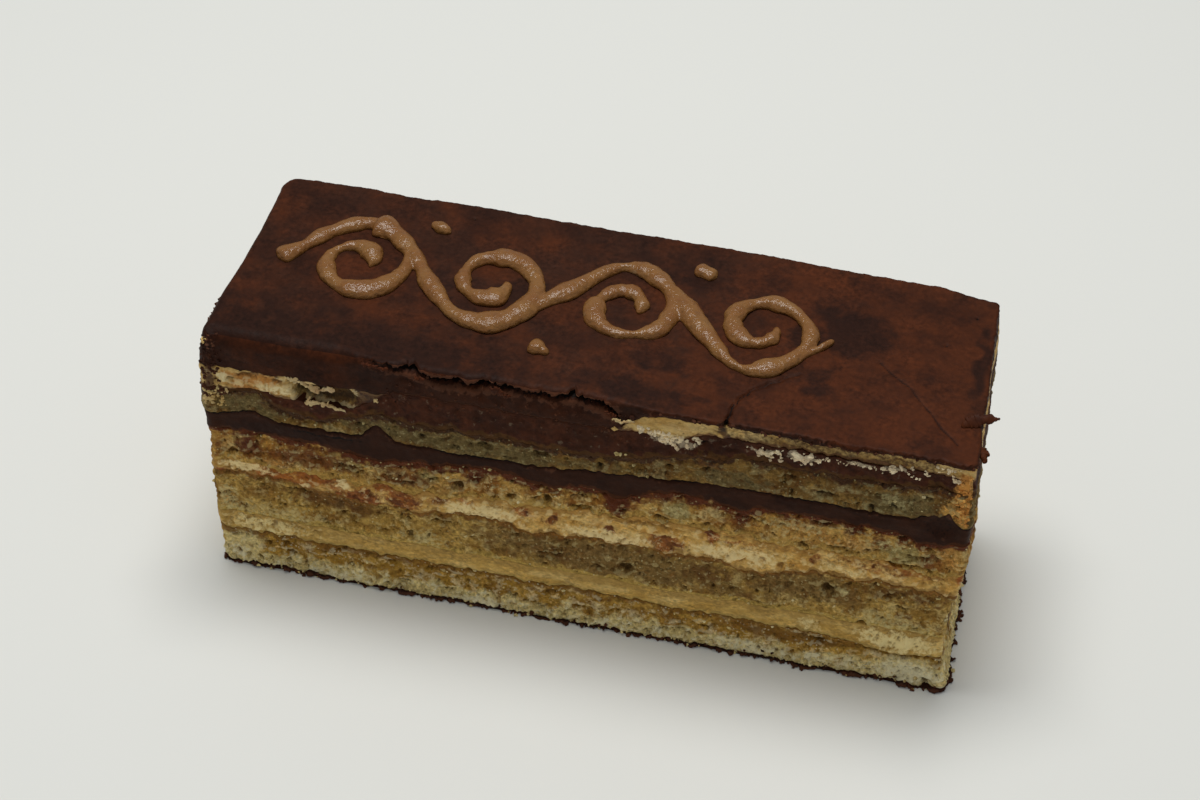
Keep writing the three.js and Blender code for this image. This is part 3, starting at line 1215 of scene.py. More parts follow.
@dataclass
class CreamLayer(Layer):
    """Spread buttercream: knife drags along the slice, torn and cracked in places.

    Attributes:
        ragged: how torn it is all over, from 0 to 1.
        stained: how much syrup has run into it on the faces without spots of their own.
    """

    ragged: float = 0.1
    stained: float = 0.3

    def relief(self, wall: Wall) -> Array:
        """Drags, torn lumps and cracks."""
        n, p = self.noise, wall.points
        torn = np.maximum(self.ragged, wall.painted(self.torn, n))
        out = 0.1 * n.layered(p, (9, 9, 1.6), 2) + 0.06 * n.layered(p, 1.3, 3, 0.6)
        lump, _ = n.cells(n.warped(p, 1.0, 0.35), 1.3)
        out += torn * (0.2 * domed(lump) + 0.38 * n.layered(p + 8, 1.7, 4, 0.65))
        crack = np.abs(n.layered(n.warped(p, 2.0, 0.3) + 21, (10, 10, 1.5), 2))
        return out - (0.15 + torn) * 0.35 * (1 - smoothstep(crack, 0.0, 0.07))

    def set_back(self, wall: Wall) -> Array:
        """Lets the top cream swell by a hair under the glaze dragged over it."""
        still = super().set_back(wall)
        return still - 0.02 * self.pinch(wall.ring) if self.roof == "top_cream_top" else still

    def marks(self, wall: Wall) -> Marks:
        """Adds stains on the other faces and chocolate where the glaze covers the cream."""
        marks = super().marks(wall)
        self.raised(marks, Mask.SOAK_AND_SHADING, self.stained * wall.scattered(self.noise, (7, 7, 3), 0.1, 0.7))
        if self.roof == "top_cream_top":
            self.raised(marks, Mask.SOAK_AND_SHADING, self.pinch(wall.ring))
        return marks


@dataclass
class ChocolateLayer(Layer):
    """Ganache, brushed chocolate or a dragged chocolate film.

    Attributes:
        rough: height of its fine relief, in mm.
        crevice: how far it draws back right under the layer above, in mm.
        spread: how far it is squeezed out past the faces, in mm.
        grainy: how much of loose chocolate grain it shows, from 0 to 1.
    """

    rough: float = 0.06
    crevice: float = 0.0
    spread: float = 0.0
    grainy: float = 0.0

    def relief(self, wall: Wall) -> Array:
        """Soft rolls and grain."""
        n, p = self.noise, wall.points
        torn = np.maximum(self.grainy, wall.painted(self.torn, n))
        out = 0.12 * n.layered(p, (6, 6, 3), 2) + self.rough * n.layered(p, 1.1, 3, 0.6)
        grain, _ = n.cells(n.warped(p, 0.7, 0.2), 0.85)
        out += torn * (0.3 * domed(grain) + 0.2 * n.layered(p + 4, 1.2, 2))
        squeezed = smoothstep(n.layered(p * (1, 1, 0) + 2, 2.0, 4, 0.8), -0.5, 0.6)
        return out + self.spread * (1 - 0.6 * wall.left) * squeezed

    def set_back(self, wall: Wall) -> Array:
        """The crevice along the upper edge."""
        share = 0.3 + 0.7 * smoothstep(self.noise.layered(wall.points * (1, 1, 0), 9.0, 2), -0.4, 0.3)
        return self.crevice * share * (1 - smoothstep(wall.below_roof, 0.15, 0.6))

    def marks(self, wall: Wall) -> Marks:
        """Adds painted shade in the crevice and pale specks on the grain."""
        marks = super().marks(wall)
        if self.crevice:
            self.raised(marks, Mask.PAINTED_SHADE, 1 - smoothstep(wall.below_roof, 0.1, 0.5))
        speckled = smoothstep(self.noise.layered(wall.points + 6, 0.8, 2), 0.6, 1.1)
        self.raised(marks, Mask.PALE, 0.8 * self.grainy * speckled)
        return marks


@dataclass
class GlazeLayer(Layer):
    """The poured glaze: a skirt that rounds over at the front left, a broken ledge in the middle of the
    front and a thin crisp edge on the right.

    Attributes:
        skirt: radius of the rounded edge at the front left, in mm.
        edge: radius of the crisp edge elsewhere.
        ledge: stretch of the front where the top's edge stands proud of torn chocolate.
        gap_path, gap_depth: height and depth of the gap under it, by place along the slice.
        crack: points of the crack that runs in from the front edge, in the plan.
        scratch: points of a faint line across the top.
        shadows: patches of painted shadow on the top, with Y for Z.
    """

    skirt: float = 2.4
    edge: float = 0.4
    ledge: Pair = (-26.0, 5.5)
    gap_path: tuple[Pair, ...] = (
        (-31, 45.6), (-28, 45.3), (-25, 45.1), (-22, 44.5), (-19, 44.1), (-15, 44.2), (-12, 44.8),
        (-9, 44.4), (-6, 44.5), (0, 44.8), (3, 44.4), (5, 43.0), (6.5, 41.6),
    )
    gap_depth: tuple[Pair, ...] = (
        (-31, 0.2), (-27, 0.7), (-20, 1.8), (-14, 1.8), (-10, 0.8), (-5, 1.2), (1, 1.5), (4, 1.6),
        (6.5, 0.0),
    )
    crack: tuple[Pair, ...] = (
        (19.6, -17.5), (19.8, -14.5), (20.3, -12), (21.8, -9.5), (24.4, -7.4), (27.2, -5.2),
    )
    scratch: tuple[Pair, ...] = ((37.5, -0.3), (42.5, -4.5), (46.5, -9.5), (50, -13.5))
    shadows: Blots = spots(
        (33.5, 4, 5.4, 5.4), (28.5, 7.5, 3.4, 2.8, 0.8), (31, -6, 2.6, 5, 0.7),
        (27, 2.5, 3.4, 3.4, 0.8), (11, 9.5, 7, 2.4, 0.7), (8.5, -7.5, 5, 2.4, 0.7), (21, 12, 5, 2, 0.5),
        (4, -12, 1.8, 4, 0.5), (-26, 1, 9, 5, 0.5), (-14, -8, 5, 2.5, 0.5), (6, -13.5, 11, 2.4, 0.8),
        (51, 2.5, 1.3, 8, 0.9), (-49, -4, 2.5, 9, 0.4),
    )

    # The wall rounds over by these angles, in degrees, and so far in, as a share of the radius; the top
    # rounds over the rest
    ANGLES = (9, 18, 27, 36, 45)
    TURNED = 0.293

    def skirted(self, x: Array) -> Array:
        """Where the front edge is the soft skirt."""
        return 1 - smoothstep(x, -35, -27)

    def radius(self, ring: Ring) -> Array:
        """Radius of the rounded upper edge round the ring."""
        front = np.clip(-ring.ny, 0, 1)
        edge = self.edge + 0.5 * np.clip(-ring.nx, 0, 1) + 0.9 * within(ring.x, self.ledge, 1.5) * front
        return lerp(edge, self.skirt, self.skirted(ring.x) * front)

    def inside(self, wall: Wall) -> Array:
        """Distance from the lower seam only, as the relief runs on over the upper edge."""
        return wall.above_floor

    def lip(self, wall: Wall) -> tuple[Array, Array]:
        """Height of the ragged gap under the top's broken edge, and its depth."""
        jag = self.noise.layered(wall.points * (1, 1, 0), 2.4, 5, 0.72)
        at = np.interp(wall.x, *zip(*self.gap_path)) + 0.4 * jag
        depth = np.interp(wall.x, *zip(*self.gap_depth), left=0, right=0) * wall.front
        return at, depth * (1 + 0.3 * jag)

    def relief(self, wall: Wall) -> Array:
        """The smooth skirt, the ledge with its gap, and rough chocolate below it."""
        n, p, x = self.noise, wall.points, wall.x
        on_ledge = within(x, self.ledge, 1.5) * wall.front
        gap, _ = self.lip(wall)
        over = smoothstep(wall.z - gap, 0.0, 0.25)
        under = on_ledge * (1 - over) * smoothstep(wall.above_floor, 0.3, 3.0)
        torn = np.maximum(under, wall.painted(self.torn, n))
        grain, _ = n.cells(n.warped(p, 0.8, 0.3), 1.0)
        broken = n.layered(p * (1, 1, 0.3) + 3, 1.7, 4, 0.7)
        out = 0.08 * n.layered(p, (8, 8, 4), 2) + 0.03 * n.layered(p, 1.2, 2)
        out += torn * (0.16 * domed(grain) + 0.2 * n.layered(p + 4, 2.0, 3, 0.6))
        out += on_ledge * over * (0.15 + 0.28 * broken) - 0.3 * under
        crisp = wall.front * smoothstep(x, 5, 10) + 0.5 * (wall.back + wall.right)
        return out + crisp * (0.25 + 0.26 * n.layered(p * (1, 1, 0.8), 1.4, 4, 0.65))

    def set_back(self, wall: Wall) -> Array:
        """The gap under the ledge and the crack's mouth."""
        gap, depth = self.lip(wall)
        half = 0.26 + 0.16 * np.clip(depth, 0, 2)
        mouth = bell(wall.x - self.crack[0][0], 0.3) * wall.front
        return mouth + depth * bell(wall.z - gap + 0.1, half)

    def marks(self, wall: Wall) -> Marks:
        """Adds painted shade in the gap and at the crack's mouth, scraped edges over the gap, and painted
        light on the skirt.
        """
        marks = super().marks(wall)
        gap, depth = self.lip(wall)
        # Painted shade in the gap under the ledge and at the crack's mouth
        split = bell(wall.x - self.crack[0][0], 0.25) * wall.front
        shade_marks = np.clip(1.2 * depth, 0, 1) * bell(wall.z - gap + 0.1, 0.42)
        self.raised(marks, Mask.PAINTED_SHADE, shade_marks, split)
        patchy = smoothstep(self.noise.layered(wall.points, 1.5, 2), 0, 0.6)
        scraped = bell(wall.z - gap - 0.4, 0.25) * patchy
        self.raised(marks, Mask.PALE, 0.8 * within(wall.x, (-16, 4), 1.0) * wall.front * scraped)
        skirt = self.skirted(wall.x) * wall.front
        # Painted light: the skirt is made lighter and redder where it faces the front
        self.raised(marks, Mask.SOAK_AND_SHADING, 0.62 * skirt)
        self.raised(marks, Mask.GREY, 0.4 * skirt * smoothstep(wall.z, 43.4, 44.6))
        on_ledge = within(wall.x, self.ledge, 1.5) * wall.front
        wander = 1.6 * self.noise.layered(wall.points, (4, 4, 2), 3)
        marks[Mask.FLOOR] = 0.85 * on_ledge * (1 - smoothstep(wall.above_floor + wander, 0.4, 3.2))
        return marks

    def build(self, ring: Ring) -> bpy.types.Object:
        """Makes the glaze: a wall with a rounded upper edge, and a fine grid over the top.

        Args:
            ring: the slice's outline.

        Returns:
            The mesh object, dressed and placed.
        """
        low, high = self.seams(ring)
        radius = self.radius(ring)
        straight = high - radius
        rows = max(6, round(float(np.mean(straight - low)) / ROW_HEIGHT))
        wall = Wall(ring, np.minimum(low, straight - 0.1), straight, rows)
        angles = np.radians(self.ANGLES)[:, None]
        wall.z = np.concatenate([wall.z, straight[None] + radius[None] * np.sin(angles)])
        wall.points = wall.over_plan(wall.z)
        side, marks = self.shaped(wall)
        inward = radius[None, :, None] * (1 - np.cos(angles))[..., None]
        side[-len(angles) :, :, :2] -= inward * points_from(ring.nx, ring.ny)
        self.side = side
        return self.topped(ring, marks, radius)

    def topped(self, ring: Ring, marks: Marks, radius: Array) -> bpy.types.Object:
        """Joins the wall, the top's grid and the floor to one closed mesh."""
        side = self.side
        rows, count = side.shape[:2]
        borders = border_numbers(STEPS_ALONG, STEPS_ACROSS)
        grid = patch(*(side[-1][borders[name]] for name in ("front", "back", "left", "right")))
        heights, top_marks = self.top(grid, radius, borders)
        inner = np.concatenate([grid[1:-1, 1:-1, :2], heights[..., None]], axis=-1)
        numbers = np.zeros(grid.shape[:2], int)
        last_row = (rows - 1) * count
        numbers[:, 0], numbers[:, -1] = last_row + borders["front"], last_row + borders["back"]
        numbers[0, :], numbers[-1, :] = last_row + borders["left"], last_row + borders["right"]
        numbers[1:-1, 1:-1] = rows * count + np.arange(heights.size).reshape(heights.shape)
        cells = [numbers[:-1, :-1], numbers[1:, :-1], numbers[1:, 1:], numbers[:-1, 1:]]
        top_faces = np.stack([c.ravel() for c in cells], axis=-1)
        spine = self.spine(self.floor)
        verts = np.concatenate([side.reshape(-1, 3), inner.reshape(-1, 3), spine])
        floor = spine_faces(ring, 0, len(verts) - len(spine), len(spine), True)
        none = np.zeros(heights.shape)
        masks = {
            mask: np.concatenate([value.ravel(), top_marks.get(mask, none).ravel(), np.zeros(len(spine))])
            for mask, value in marks.items()
        }
        shapes = [wall_faces(rows, count), top_faces, *floor]
        flat = [False, False] + [True] * len(floor)
        obj = make_object(f"{self.node}_layer", verts, shapes, flat, masks)
        return placed(obj, self.finish, self.node)

    def top(self, grid: Array, radius: Array, borders: dict[str, Array]) -> tuple[Array, Marks]:
        """Heights and marks of the top.

        Args:
            grid: the top's points.
            radius: of the rounded edge round the ring.
            borders: which of the ring's points border the grid.

        Returns:
            Heights of the points inside the borders, and their marks.
        """
        n = self.noise
        x, y = grid[1:-1, 1:-1, 0], grid[1:-1, 1:-1, 1]
        sides = [
            (y - grid[1:-1, :1, 1], radius[borders["front"]][1:-1, None]),
            (grid[1:-1, -1:, 1] - y, radius[borders["back"]][1:-1, None]),
            (x - grid[:1, 1:-1, 0], radius[borders["left"]][None, 1:-1]),
            (grid[-1:, 1:-1, 0] - x, radius[borders["right"]][None, 1:-1]),
        ]
        drop = np.zeros(x.shape)
        for away, r in sides:
            inside = np.clip(r - (away + self.TURNED * r), 0, r)
            drop = np.maximum(drop, r - np.sqrt(np.maximum(r**2 - inside**2, 0)))
        flat = points_from(x, y, 0 * x)
        cracked = along_line(n.warped(flat, 1.5, 0.35), self.crack, 0.36, fade=True)
        scratched = along_line(n.warped(flat, 3.0, 0.3), self.scratch, 0.3)
        settled = 1 - np.exp(-np.minimum.reduce([away for away, _ in sides]) / 2.0)
        roll = 0.1 * n.layered(flat, 13.0, 2) + 0.02 * n.layered(flat + 7, 2.4, 3)
        pits, draw = n.cells(flat, 5.0)
        pitted = smoothstep(0.07 - pits, 0, 0.04) * (draw > 0.7)
        heights = HEIGHT - drop + (roll - 0.06) * settled
        heights = heights - 0.75 * cracked - 0.12 * scratched - 0.25 * pitted
        at = n.warped(flat, 3.0, 1.3)
        # Painted shadows on the top: darker towards the front left, and in the listed patches
        shade_marks = 0.75 * (1 - smoothstep(x + 0.6 * y, -32, 4)) * (1 - smoothstep(y, -14, -1))
        for blot in self.shadows:
            away = blot.away(at[..., 0], at[..., 1])
            shade_marks = np.maximum(shade_marks, blot.amount * (1 - smoothstep(away, 0.2, 1.5)))
        marks = {
            # Painted sheen: redder and lighter towards the right and the front of the top
            Mask.SOAK_AND_SHADING: 0.85 * smoothstep(x - 0.8 * y, -20, 45),
            # Painted shadows, and the scratch's line
            Mask.GREY: np.maximum(shade_marks, 0.9 * scratched),
            # Painted shade in the crack and the pits
            Mask.PAINTED_SHADE: np.maximum(cracked, 0.6 * pitted),
        }
        return heights, marks


def along_line(points: Array, line: Sequence[Pair], half: float, fade: bool = False) -> Array:
    """Is 1 on a line of the plan and 0 beyond half its width; it may fade along its length."""
    best = np.zeros(points.shape[:-1])
    pieces = len(line) - 1
    for k in range(pieces):
        start, step = np.array(line[k]), np.subtract(line[k + 1], line[k])
        t = np.clip(((points[..., :2] - start) @ step) / (step @ step), 0, 1)
        away = np.linalg.norm(points[..., :2] - start - t[..., None] * step, axis=-1)
        strength = 1 - 0.7 * (k + t) / pieces if fade else 1.0
        best = np.maximum(best, strength * (1 - smoothstep(away, 0, half)))
    return best


def border_numbers(along: int, across: int) -> dict[str, Array]:
    """Which points of the ring lie on each side, each in the order of the top's grid."""
    total = 2 * (along + across)
    return {
        "front": np.arange(along + 1),
        "right": along + np.arange(across + 1),
        "back": (along + across + np.arange(along + 1))[::-1],
        "left": (2 * along + across + np.arange(across + 1))[::-1] % total,
    }


def patch(front: Array, back: Array, left: Array, right: Array) -> Array:
    """Fills the space between four edges with a grid that meets them."""
    u = Ring.shares(len(front) - 1)[:, None, None]
    v = Ring.shares(len(left) - 1)[None, :, None]
    ruled = (1 - v) * front[:, None] + v * back[:, None] + (1 - u) * left[None] + u * right[None]
    corners = (1 - u) * ((1 - v) * front[0] + v * back[0]) + u * ((1 - v) * front[-1] + v * back[-1])
    return ruled - corners


def sweep(line: Array, up: Sequence[float], width: Array, high: Array, root: Array) -> Shape:
    """A closed bead along a line.

    Args:
        line: points of its middle, in mm.
        up: the way it stands out.
        width: half its width at each point.
        high: how far it stands out there.
        root: how far it goes in there.

    Returns:
        Its points and faces.
    """
    sides = 16
    step = np.gradient(line, axis=0)
    across = np.cross(up, step)
    across /= np.linalg.norm(across, axis=1, keepdims=True)
    angle = np.linspace(0, 2 * math.pi, sides, endpoint=False)
    lift = np.where(np.sin(angle) > 0, high[:, None], root[:, None]) * np.sin(angle)
    reach = np.cos(angle) * width[:, None]
    points = line[:, None] + across[:, None] * reach[..., None] + np.asarray(up) * lift[..., None]
    last = (len(line) - 1) * sides
    ends = [np.arange(sides)[None, ::-1], last + np.arange(sides)[None]]
    return points.reshape(-1, 3), [wall_faces(len(line), sides), *ends]


def rounded_off(line: Array, reach: float) -> Array:
    """Goes from 0 to 1 and back along a line, like a dome over its ends."""
    run = np.concatenate([[0], np.cumsum(np.linalg.norm(np.diff(line, axis=0), axis=1))])
    from_end = np.minimum(run, run[-1] - run)
    return np.sqrt(np.clip(1 - (1 - np.clip(from_end / reach, 0, 1)) ** 2, 0.002, 1))


def joined(name: str, shapes: Sequence[Shape]) -> bpy.types.Object:
    """Makes one smooth object out of several shapes' points and faces."""
    verts, faces, first = [], [], 0
    for points, parts in shapes:
        verts.append(points)
        faces.extend(part + first for part in parts)
        first += len(points)
    return make_object(name, np.concatenate(verts), faces, [False] * len(faces), {})


@dataclass
class PipedScroll:
    """The piped ornament: a waving stem with a curl in each of its hollows, and three drops beside it.

    Attributes:
        span: the stem's two ends along the slice, in mm.
        middle: of its wave, across the slice.
        swing: how far it waves.
        crest: place of the first crest.
        pitch: from a crest to the next trough.
        curls: how many.
        curl_radius: at a curl's start and at its end.
        turns: of a curl.
        drops, drop_length: their middles and the length of each.
        half_width: of the bead.
        rise, root: how far it stands out of the glaze and how far it reaches down into it.
        pulled: share by which it thins where the cone is pulled away.
        voxel: size to which the beads are joined.
        wander: how far the hand wavers.
    """

    span: Pair = (-47.0, 31.0)
    middle: float = 2.0
    swing: float = 8.0
    crest: float = -36.0
    pitch: float = 19.0
    curls: int = 4
    curl_radius: Pair = (8.2, 1.9)
    turns: float = 1.3
    drops: tuple[Pair, ...] = ((-26.5, 12.0), (11.5, 12.0), (-7.5, -8.5))
    drop_length: float = 3.2
    half_width: float = 1.3
    rise: float = 1.1
    root: float = 0.35
    pulled: float = 0.6
    voxel: float = 0.2
    wander: float = 0.35

    STEM_STEPS = 260
    CURL_STEPS = 150
    DROP_STEPS = 24
    CURL_SCALE = 0.9
    DROP_SCALE = 0.85

    def __post_init__(self) -> None:
        """Gives the scroll its own noise."""
        self.noise = Noise(SEED + 91)

    def stem(self) -> Array:
        """Plan points of the stem's middle line."""
        x = np.linspace(*self.span, self.STEM_STEPS)
        wave = np.cos(math.pi * (x - self.crest) / self.pitch)
        return points_from(x, self.middle + self.swing * wave)

    def curl(self, k: int) -> Array:
        """Plan points of one curl's middle line."""
        side = -1 if k % 2 else 1
        t = np.linspace(0, 1, self.CURL_STEPS)
        start, end = self.curl_radius
        angle = math.pi / 2 - t * self.turns * 2 * math.pi
        radius = lerp(start, end, t**0.8)
        x = self.crest + k * self.pitch + radius * np.cos(angle)
        y = self.middle + side * (self.swing - start) + side * radius * np.sin(angle)
        return points_from(x, y)

    def bead(self, plan: Array, scale: float, seed: int) -> Shape:
        """A closed bead along a line of the plan, as uneven as a hand squeezes it.

        Args:
            plan: points of its middle line.
            scale: its width against the stem's.
            seed: of its uneven width.

        Returns:
            Its points and faces.
        """
        line = np.concatenate([plan, np.full((len(plan), 1), HEIGHT)], axis=1)
        shifts = [self.noise.roll(line + k * 11, 6.0) for k in (1, 2)]
        line[:, :2] += self.wander * points_from(*shifts)
        run = np.linspace(0, 1, len(plan))[:, None] * len(plan) * 0.3
        at = np.concatenate([run, 0 * run + 37.0 * seed, 0 * run], axis=1)
        t = np.linspace(0, 1, len(plan))
        width = self.half_width * scale * np.clip(1 + 0.85 * self.noise.layered(at, 7.0, 3), 0.45, 1.65)
        width *= 1 + 0.3 * bell(run[:, 0], 3.0) - self.pulled * smoothstep(t, 0.84, 1.0)
        dome = rounded_off(line, 1.1 * self.half_width)
        high = self.rise * (0.45 + 0.55 * width / self.half_width) * dome
        return sweep(line, (0, 0, 1), width * dome, high, self.root * dome)

    def build(self) -> bpy.types.Object:
        """Makes the beads, joins them and pebbles their skin.

        Returns:
            The mesh object, dressed and placed.
        """
        lines = [(self.stem(), 1.0)] + [(self.curl(k), self.CURL_SCALE) for k in range(self.curls)]
        half, share = self.drop_length / 2, np.linspace(0, 1, self.DROP_STEPS)[:, None]
        for x, y in self.drops:
            drop = lerp(np.array([x - half, y]), np.array([x + half, y - 1]), share)
            lines.append((drop, self.DROP_SCALE))
        beads = [self.bead(line, scale, seed) for seed, (line, scale) in enumerate(lines)]
        obj = joined("piped_scroll", beads)
        remesh = obj.modifiers.new("join", "REMESH")
        remesh.mode = "VOXEL"
        remesh.voxel_size = self.voxel * MM
        soften = obj.modifiers.new("soften", "SMOOTH")
        soften.iterations = 5
        apply_modifiers(obj)
        self.pebble(obj.data)
        return placed(obj, PipingFinish(), "glaze")

    def pebble(self, mesh: bpy.types.Mesh) -> None:
        """Moves the skin out and in by small bumps, most on its slopes, and marks it for its finish."""
        count = len(mesh.vertices)
        co, normal = np.zeros(count * 3), np.zeros(count * 3)
        mesh.vertices.foreach_get("co", co)
        mesh.vertex_normals.foreach_get("vector", normal)
        co, normal = co.reshape(-1, 3) / MM, normal.reshape(-1, 3)
        slope = smoothstep(1 - normal[:, 2], 0.05, 0.4)
        bumps = 0.05 * self.noise.layered(co, 0.9, 2) * (0.1 + slope)
        bumps = bumps + 0.08 * self.noise.layered(co + 9, 3.0, 2)
        above = smoothstep(co[:, 2] - HEIGHT, -0.1, 0.3)
        moved = co + normal * (bumps * above)[:, None]
        mesh.vertices.foreach_set("co", (moved * MM).ravel())
        marks = {
            Mask.PALE: 0.5 * smoothstep(self.noise.layered(co + 3, 5.0, 2), 0.5, 1.0),
            Mask.SOAK_AND_SHADING: 0.8 * smoothstep(self.noise.layered(co + 5, 1.2, 2), 0.8, 1.1) * slope,
        }
        mark(mesh, marks)
        mesh.polygons.foreach_set("use_smooth", np.ones(len(mesh.polygons), bool))
        mesh.update()


def apply_modifiers(obj: bpy.types.Object) -> None:
    """Bakes an object's modifiers into its mesh."""
    graph = bpy.context.evaluated_depsgraph_get()
    mesh = bpy.data.meshes.new_from_object(obj.evaluated_get(graph))
    obj.modifiers.clear()
    obj.data = mesh


@dataclass(frozen=True)
class Region:
    """A part of the plan.

    Attributes:
        x: its two limits along the slice, in mm.
        y: its two limits across it.
    """

    x: Pair = (-LENGTH, LENGTH)
    y: Pair = (-WIDTH, WIDTH)

    def holds(self, points: Array) -> Array:
        """Whether each point lies over or under it."""
        x, y = points[:, 0], points[:, 1]
        return (x > self.x[0]) & (x < self.x[1]) & (y > self.y[0]) & (y < self.y[1])


@dataclass
class Skin:
    """The cut faces as built, for what lies on them.

    Attributes:
        layers: the built layers by node.
    """

    layers: dict[str, Layer]

    def __post_init__(self) -> None:
        """Gathers the front face's points."""
        front = [layer.side[:, : STEPS_ALONG + 1].reshape(-1, 3) for layer in self.layers.values()]
        self.front = np.concatenate(front)
        self.rng = np.random.default_rng(SEED)

    def on_front(self, crumbs: Sequence[Triple]) -> tuple[Array, Array]:
        """Puts crumbs on the front face.

        Args:
            crumbs: place along the slice, height and radius of each, in mm.

        Returns:
            Points of the face nearest to them, a little inside it, and the radii.
        """
        radii = np.array([radius for _, _, radius in crumbs])
        away = ((self.front[:, 0] - x) ** 2 + (self.front[:, 2] - z) ** 2 for x, z, _ in crumbs)
        points = np.array([self.front[np.argmin(gap)] for gap in away])
        points[:, 1] += 0.35 * radii
        return points, radii

    def sown(self, node: str, count: int, share: Pair, region: Region = Region()) -> Array:
        """Picks places on a layer's side.

        Args:
            node: the layer's.
            count: how many.
            share: lowest and highest place, as shares of the layer's height.
            region: the part of the plan that they keep to.

        Returns:
            Their points.
        """
        side = self.layers[node].side
        first, last = (int(part * (len(side) - 1)) for part in share)
        belt = side[first : last + 1].reshape(-1, 3)
        odds = region.holds(belt)
        return belt[self.rng.choice(len(belt), count, p=odds / odds.sum())]


@dataclass
class Trimming:
    """Loose bits of one kind, joined to one piece.

    Attributes:
        name: the piece's name.
        slot: name of a material slot; not used.
        finish: what they are made of.
    """

    name: str
    slot: str
    finish: Finish

    def build(self) -> bpy.types.Object:
        """Makes the piece. Each kind has its own way."""
        raise NotImplementedError


@dataclass
class Crumbs(Trimming):
    """Crumbs.

    Attributes:
        places: their middles, in mm.
        sizes: their radii.
    """

    places: Array
    sizes: Array

    def build(self) -> bpy.types.Object:
        """Makes the crumbs, each turned, stretched and dented its own way.

        Returns:
            The mesh object, dressed and placed.
        """
        rng = np.random.default_rng(len(self.places))
        shape = bmesh.new()
        bmesh.ops.create_icosphere(shape, subdivisions=2, radius=1.0)
        ball = np.array([v.co[:] for v in shape.verts])
        corners = np.array([[v.index for v in face.verts] for face in shape.faces])
        shape.free()
        count = len(self.places)
        stretched = ball[None] * rng.uniform(0.45, 1.25, (count, 1, 3))
        turned = np.einsum("nij,nvj->nvi", np.linalg.qr(rng.normal(size=(count, 3, 3)))[0], stretched)
        dents = Noise(SEED + count).layered(turned * 1.6 + rng.uniform(0, 90, (count, 1, 3)), 1.0, 2)
        verts = self.places[:, None] + turned * (1 + 0.55 * dents)[..., None] * self.sizes[:, None, None]
        faces = corners[None] + (np.arange(count) * len(ball))[:, None, None]
        obj = make_object(self.name, verts.reshape(-1, 3), [faces.reshape(-1, 3)], [True], {})
        return placed(obj, self.finish)


@dataclass(frozen=True)
class Shred:
    """A torn strip or shard.

    Attributes:
        line: points of its middle, in mm.
        width: half its width.
        thick: half its thickness.
        up: the way its broad side faces.
        taper: how much narrower its far end is, from 0 to 1.
        rag: how torn its edges are.
    """

    line: tuple[Triple, ...]
    width: float
    thick: float = 0.1
    up: Triple = (0.0, -1.0, 0.0)
    taper: float = 0.0
    rag: float = 1.0

    def shape(self, noise: Noise) -> Shape:
        """Points and faces of the shred, with torn edges."""
        corners = np.array(self.line)
        t = np.linspace(0, len(corners) - 1, 20 * len(corners))
        line = np.stack([np.interp(t, range(len(corners)), corners[:, k]) for k in range(3)], axis=-1)
        wander = [noise.layered(line + 5 * k, 1.0, 3, 0.8) for k in (1, 2, 3)]
        line += 0.16 * self.rag * points_from(*wander)
        width = self.width * (1 + self.rag * noise.layered(line, 0.7, 3, 0.8))
        width = width * (1 - self.taper * t / t[-1])
        dome = rounded_off(line, 2 * self.width)
        thick = self.thick * (1 + 0.4 * noise.layered(line + 9, 0.9, 2)) * np.sqrt(dome)
        return sweep(line, self.up, np.maximum(width, 0.08) * dome, thick, thick)


@dataclass
class Shreds(Trimming):
    """Torn strips.

    Attributes:
        parts: the strips.
    """

    parts: tuple[Shred, ...]

    def build(self) -> bpy.types.Object:
        """Makes the strips.

        Returns:
            The mesh object, dressed and placed.
        """
        noise = Noise(SEED + len(self.name))
        obj = joined(self.name, [part.shape(noise) for part in self.parts])
        return placed(obj, self.finish)


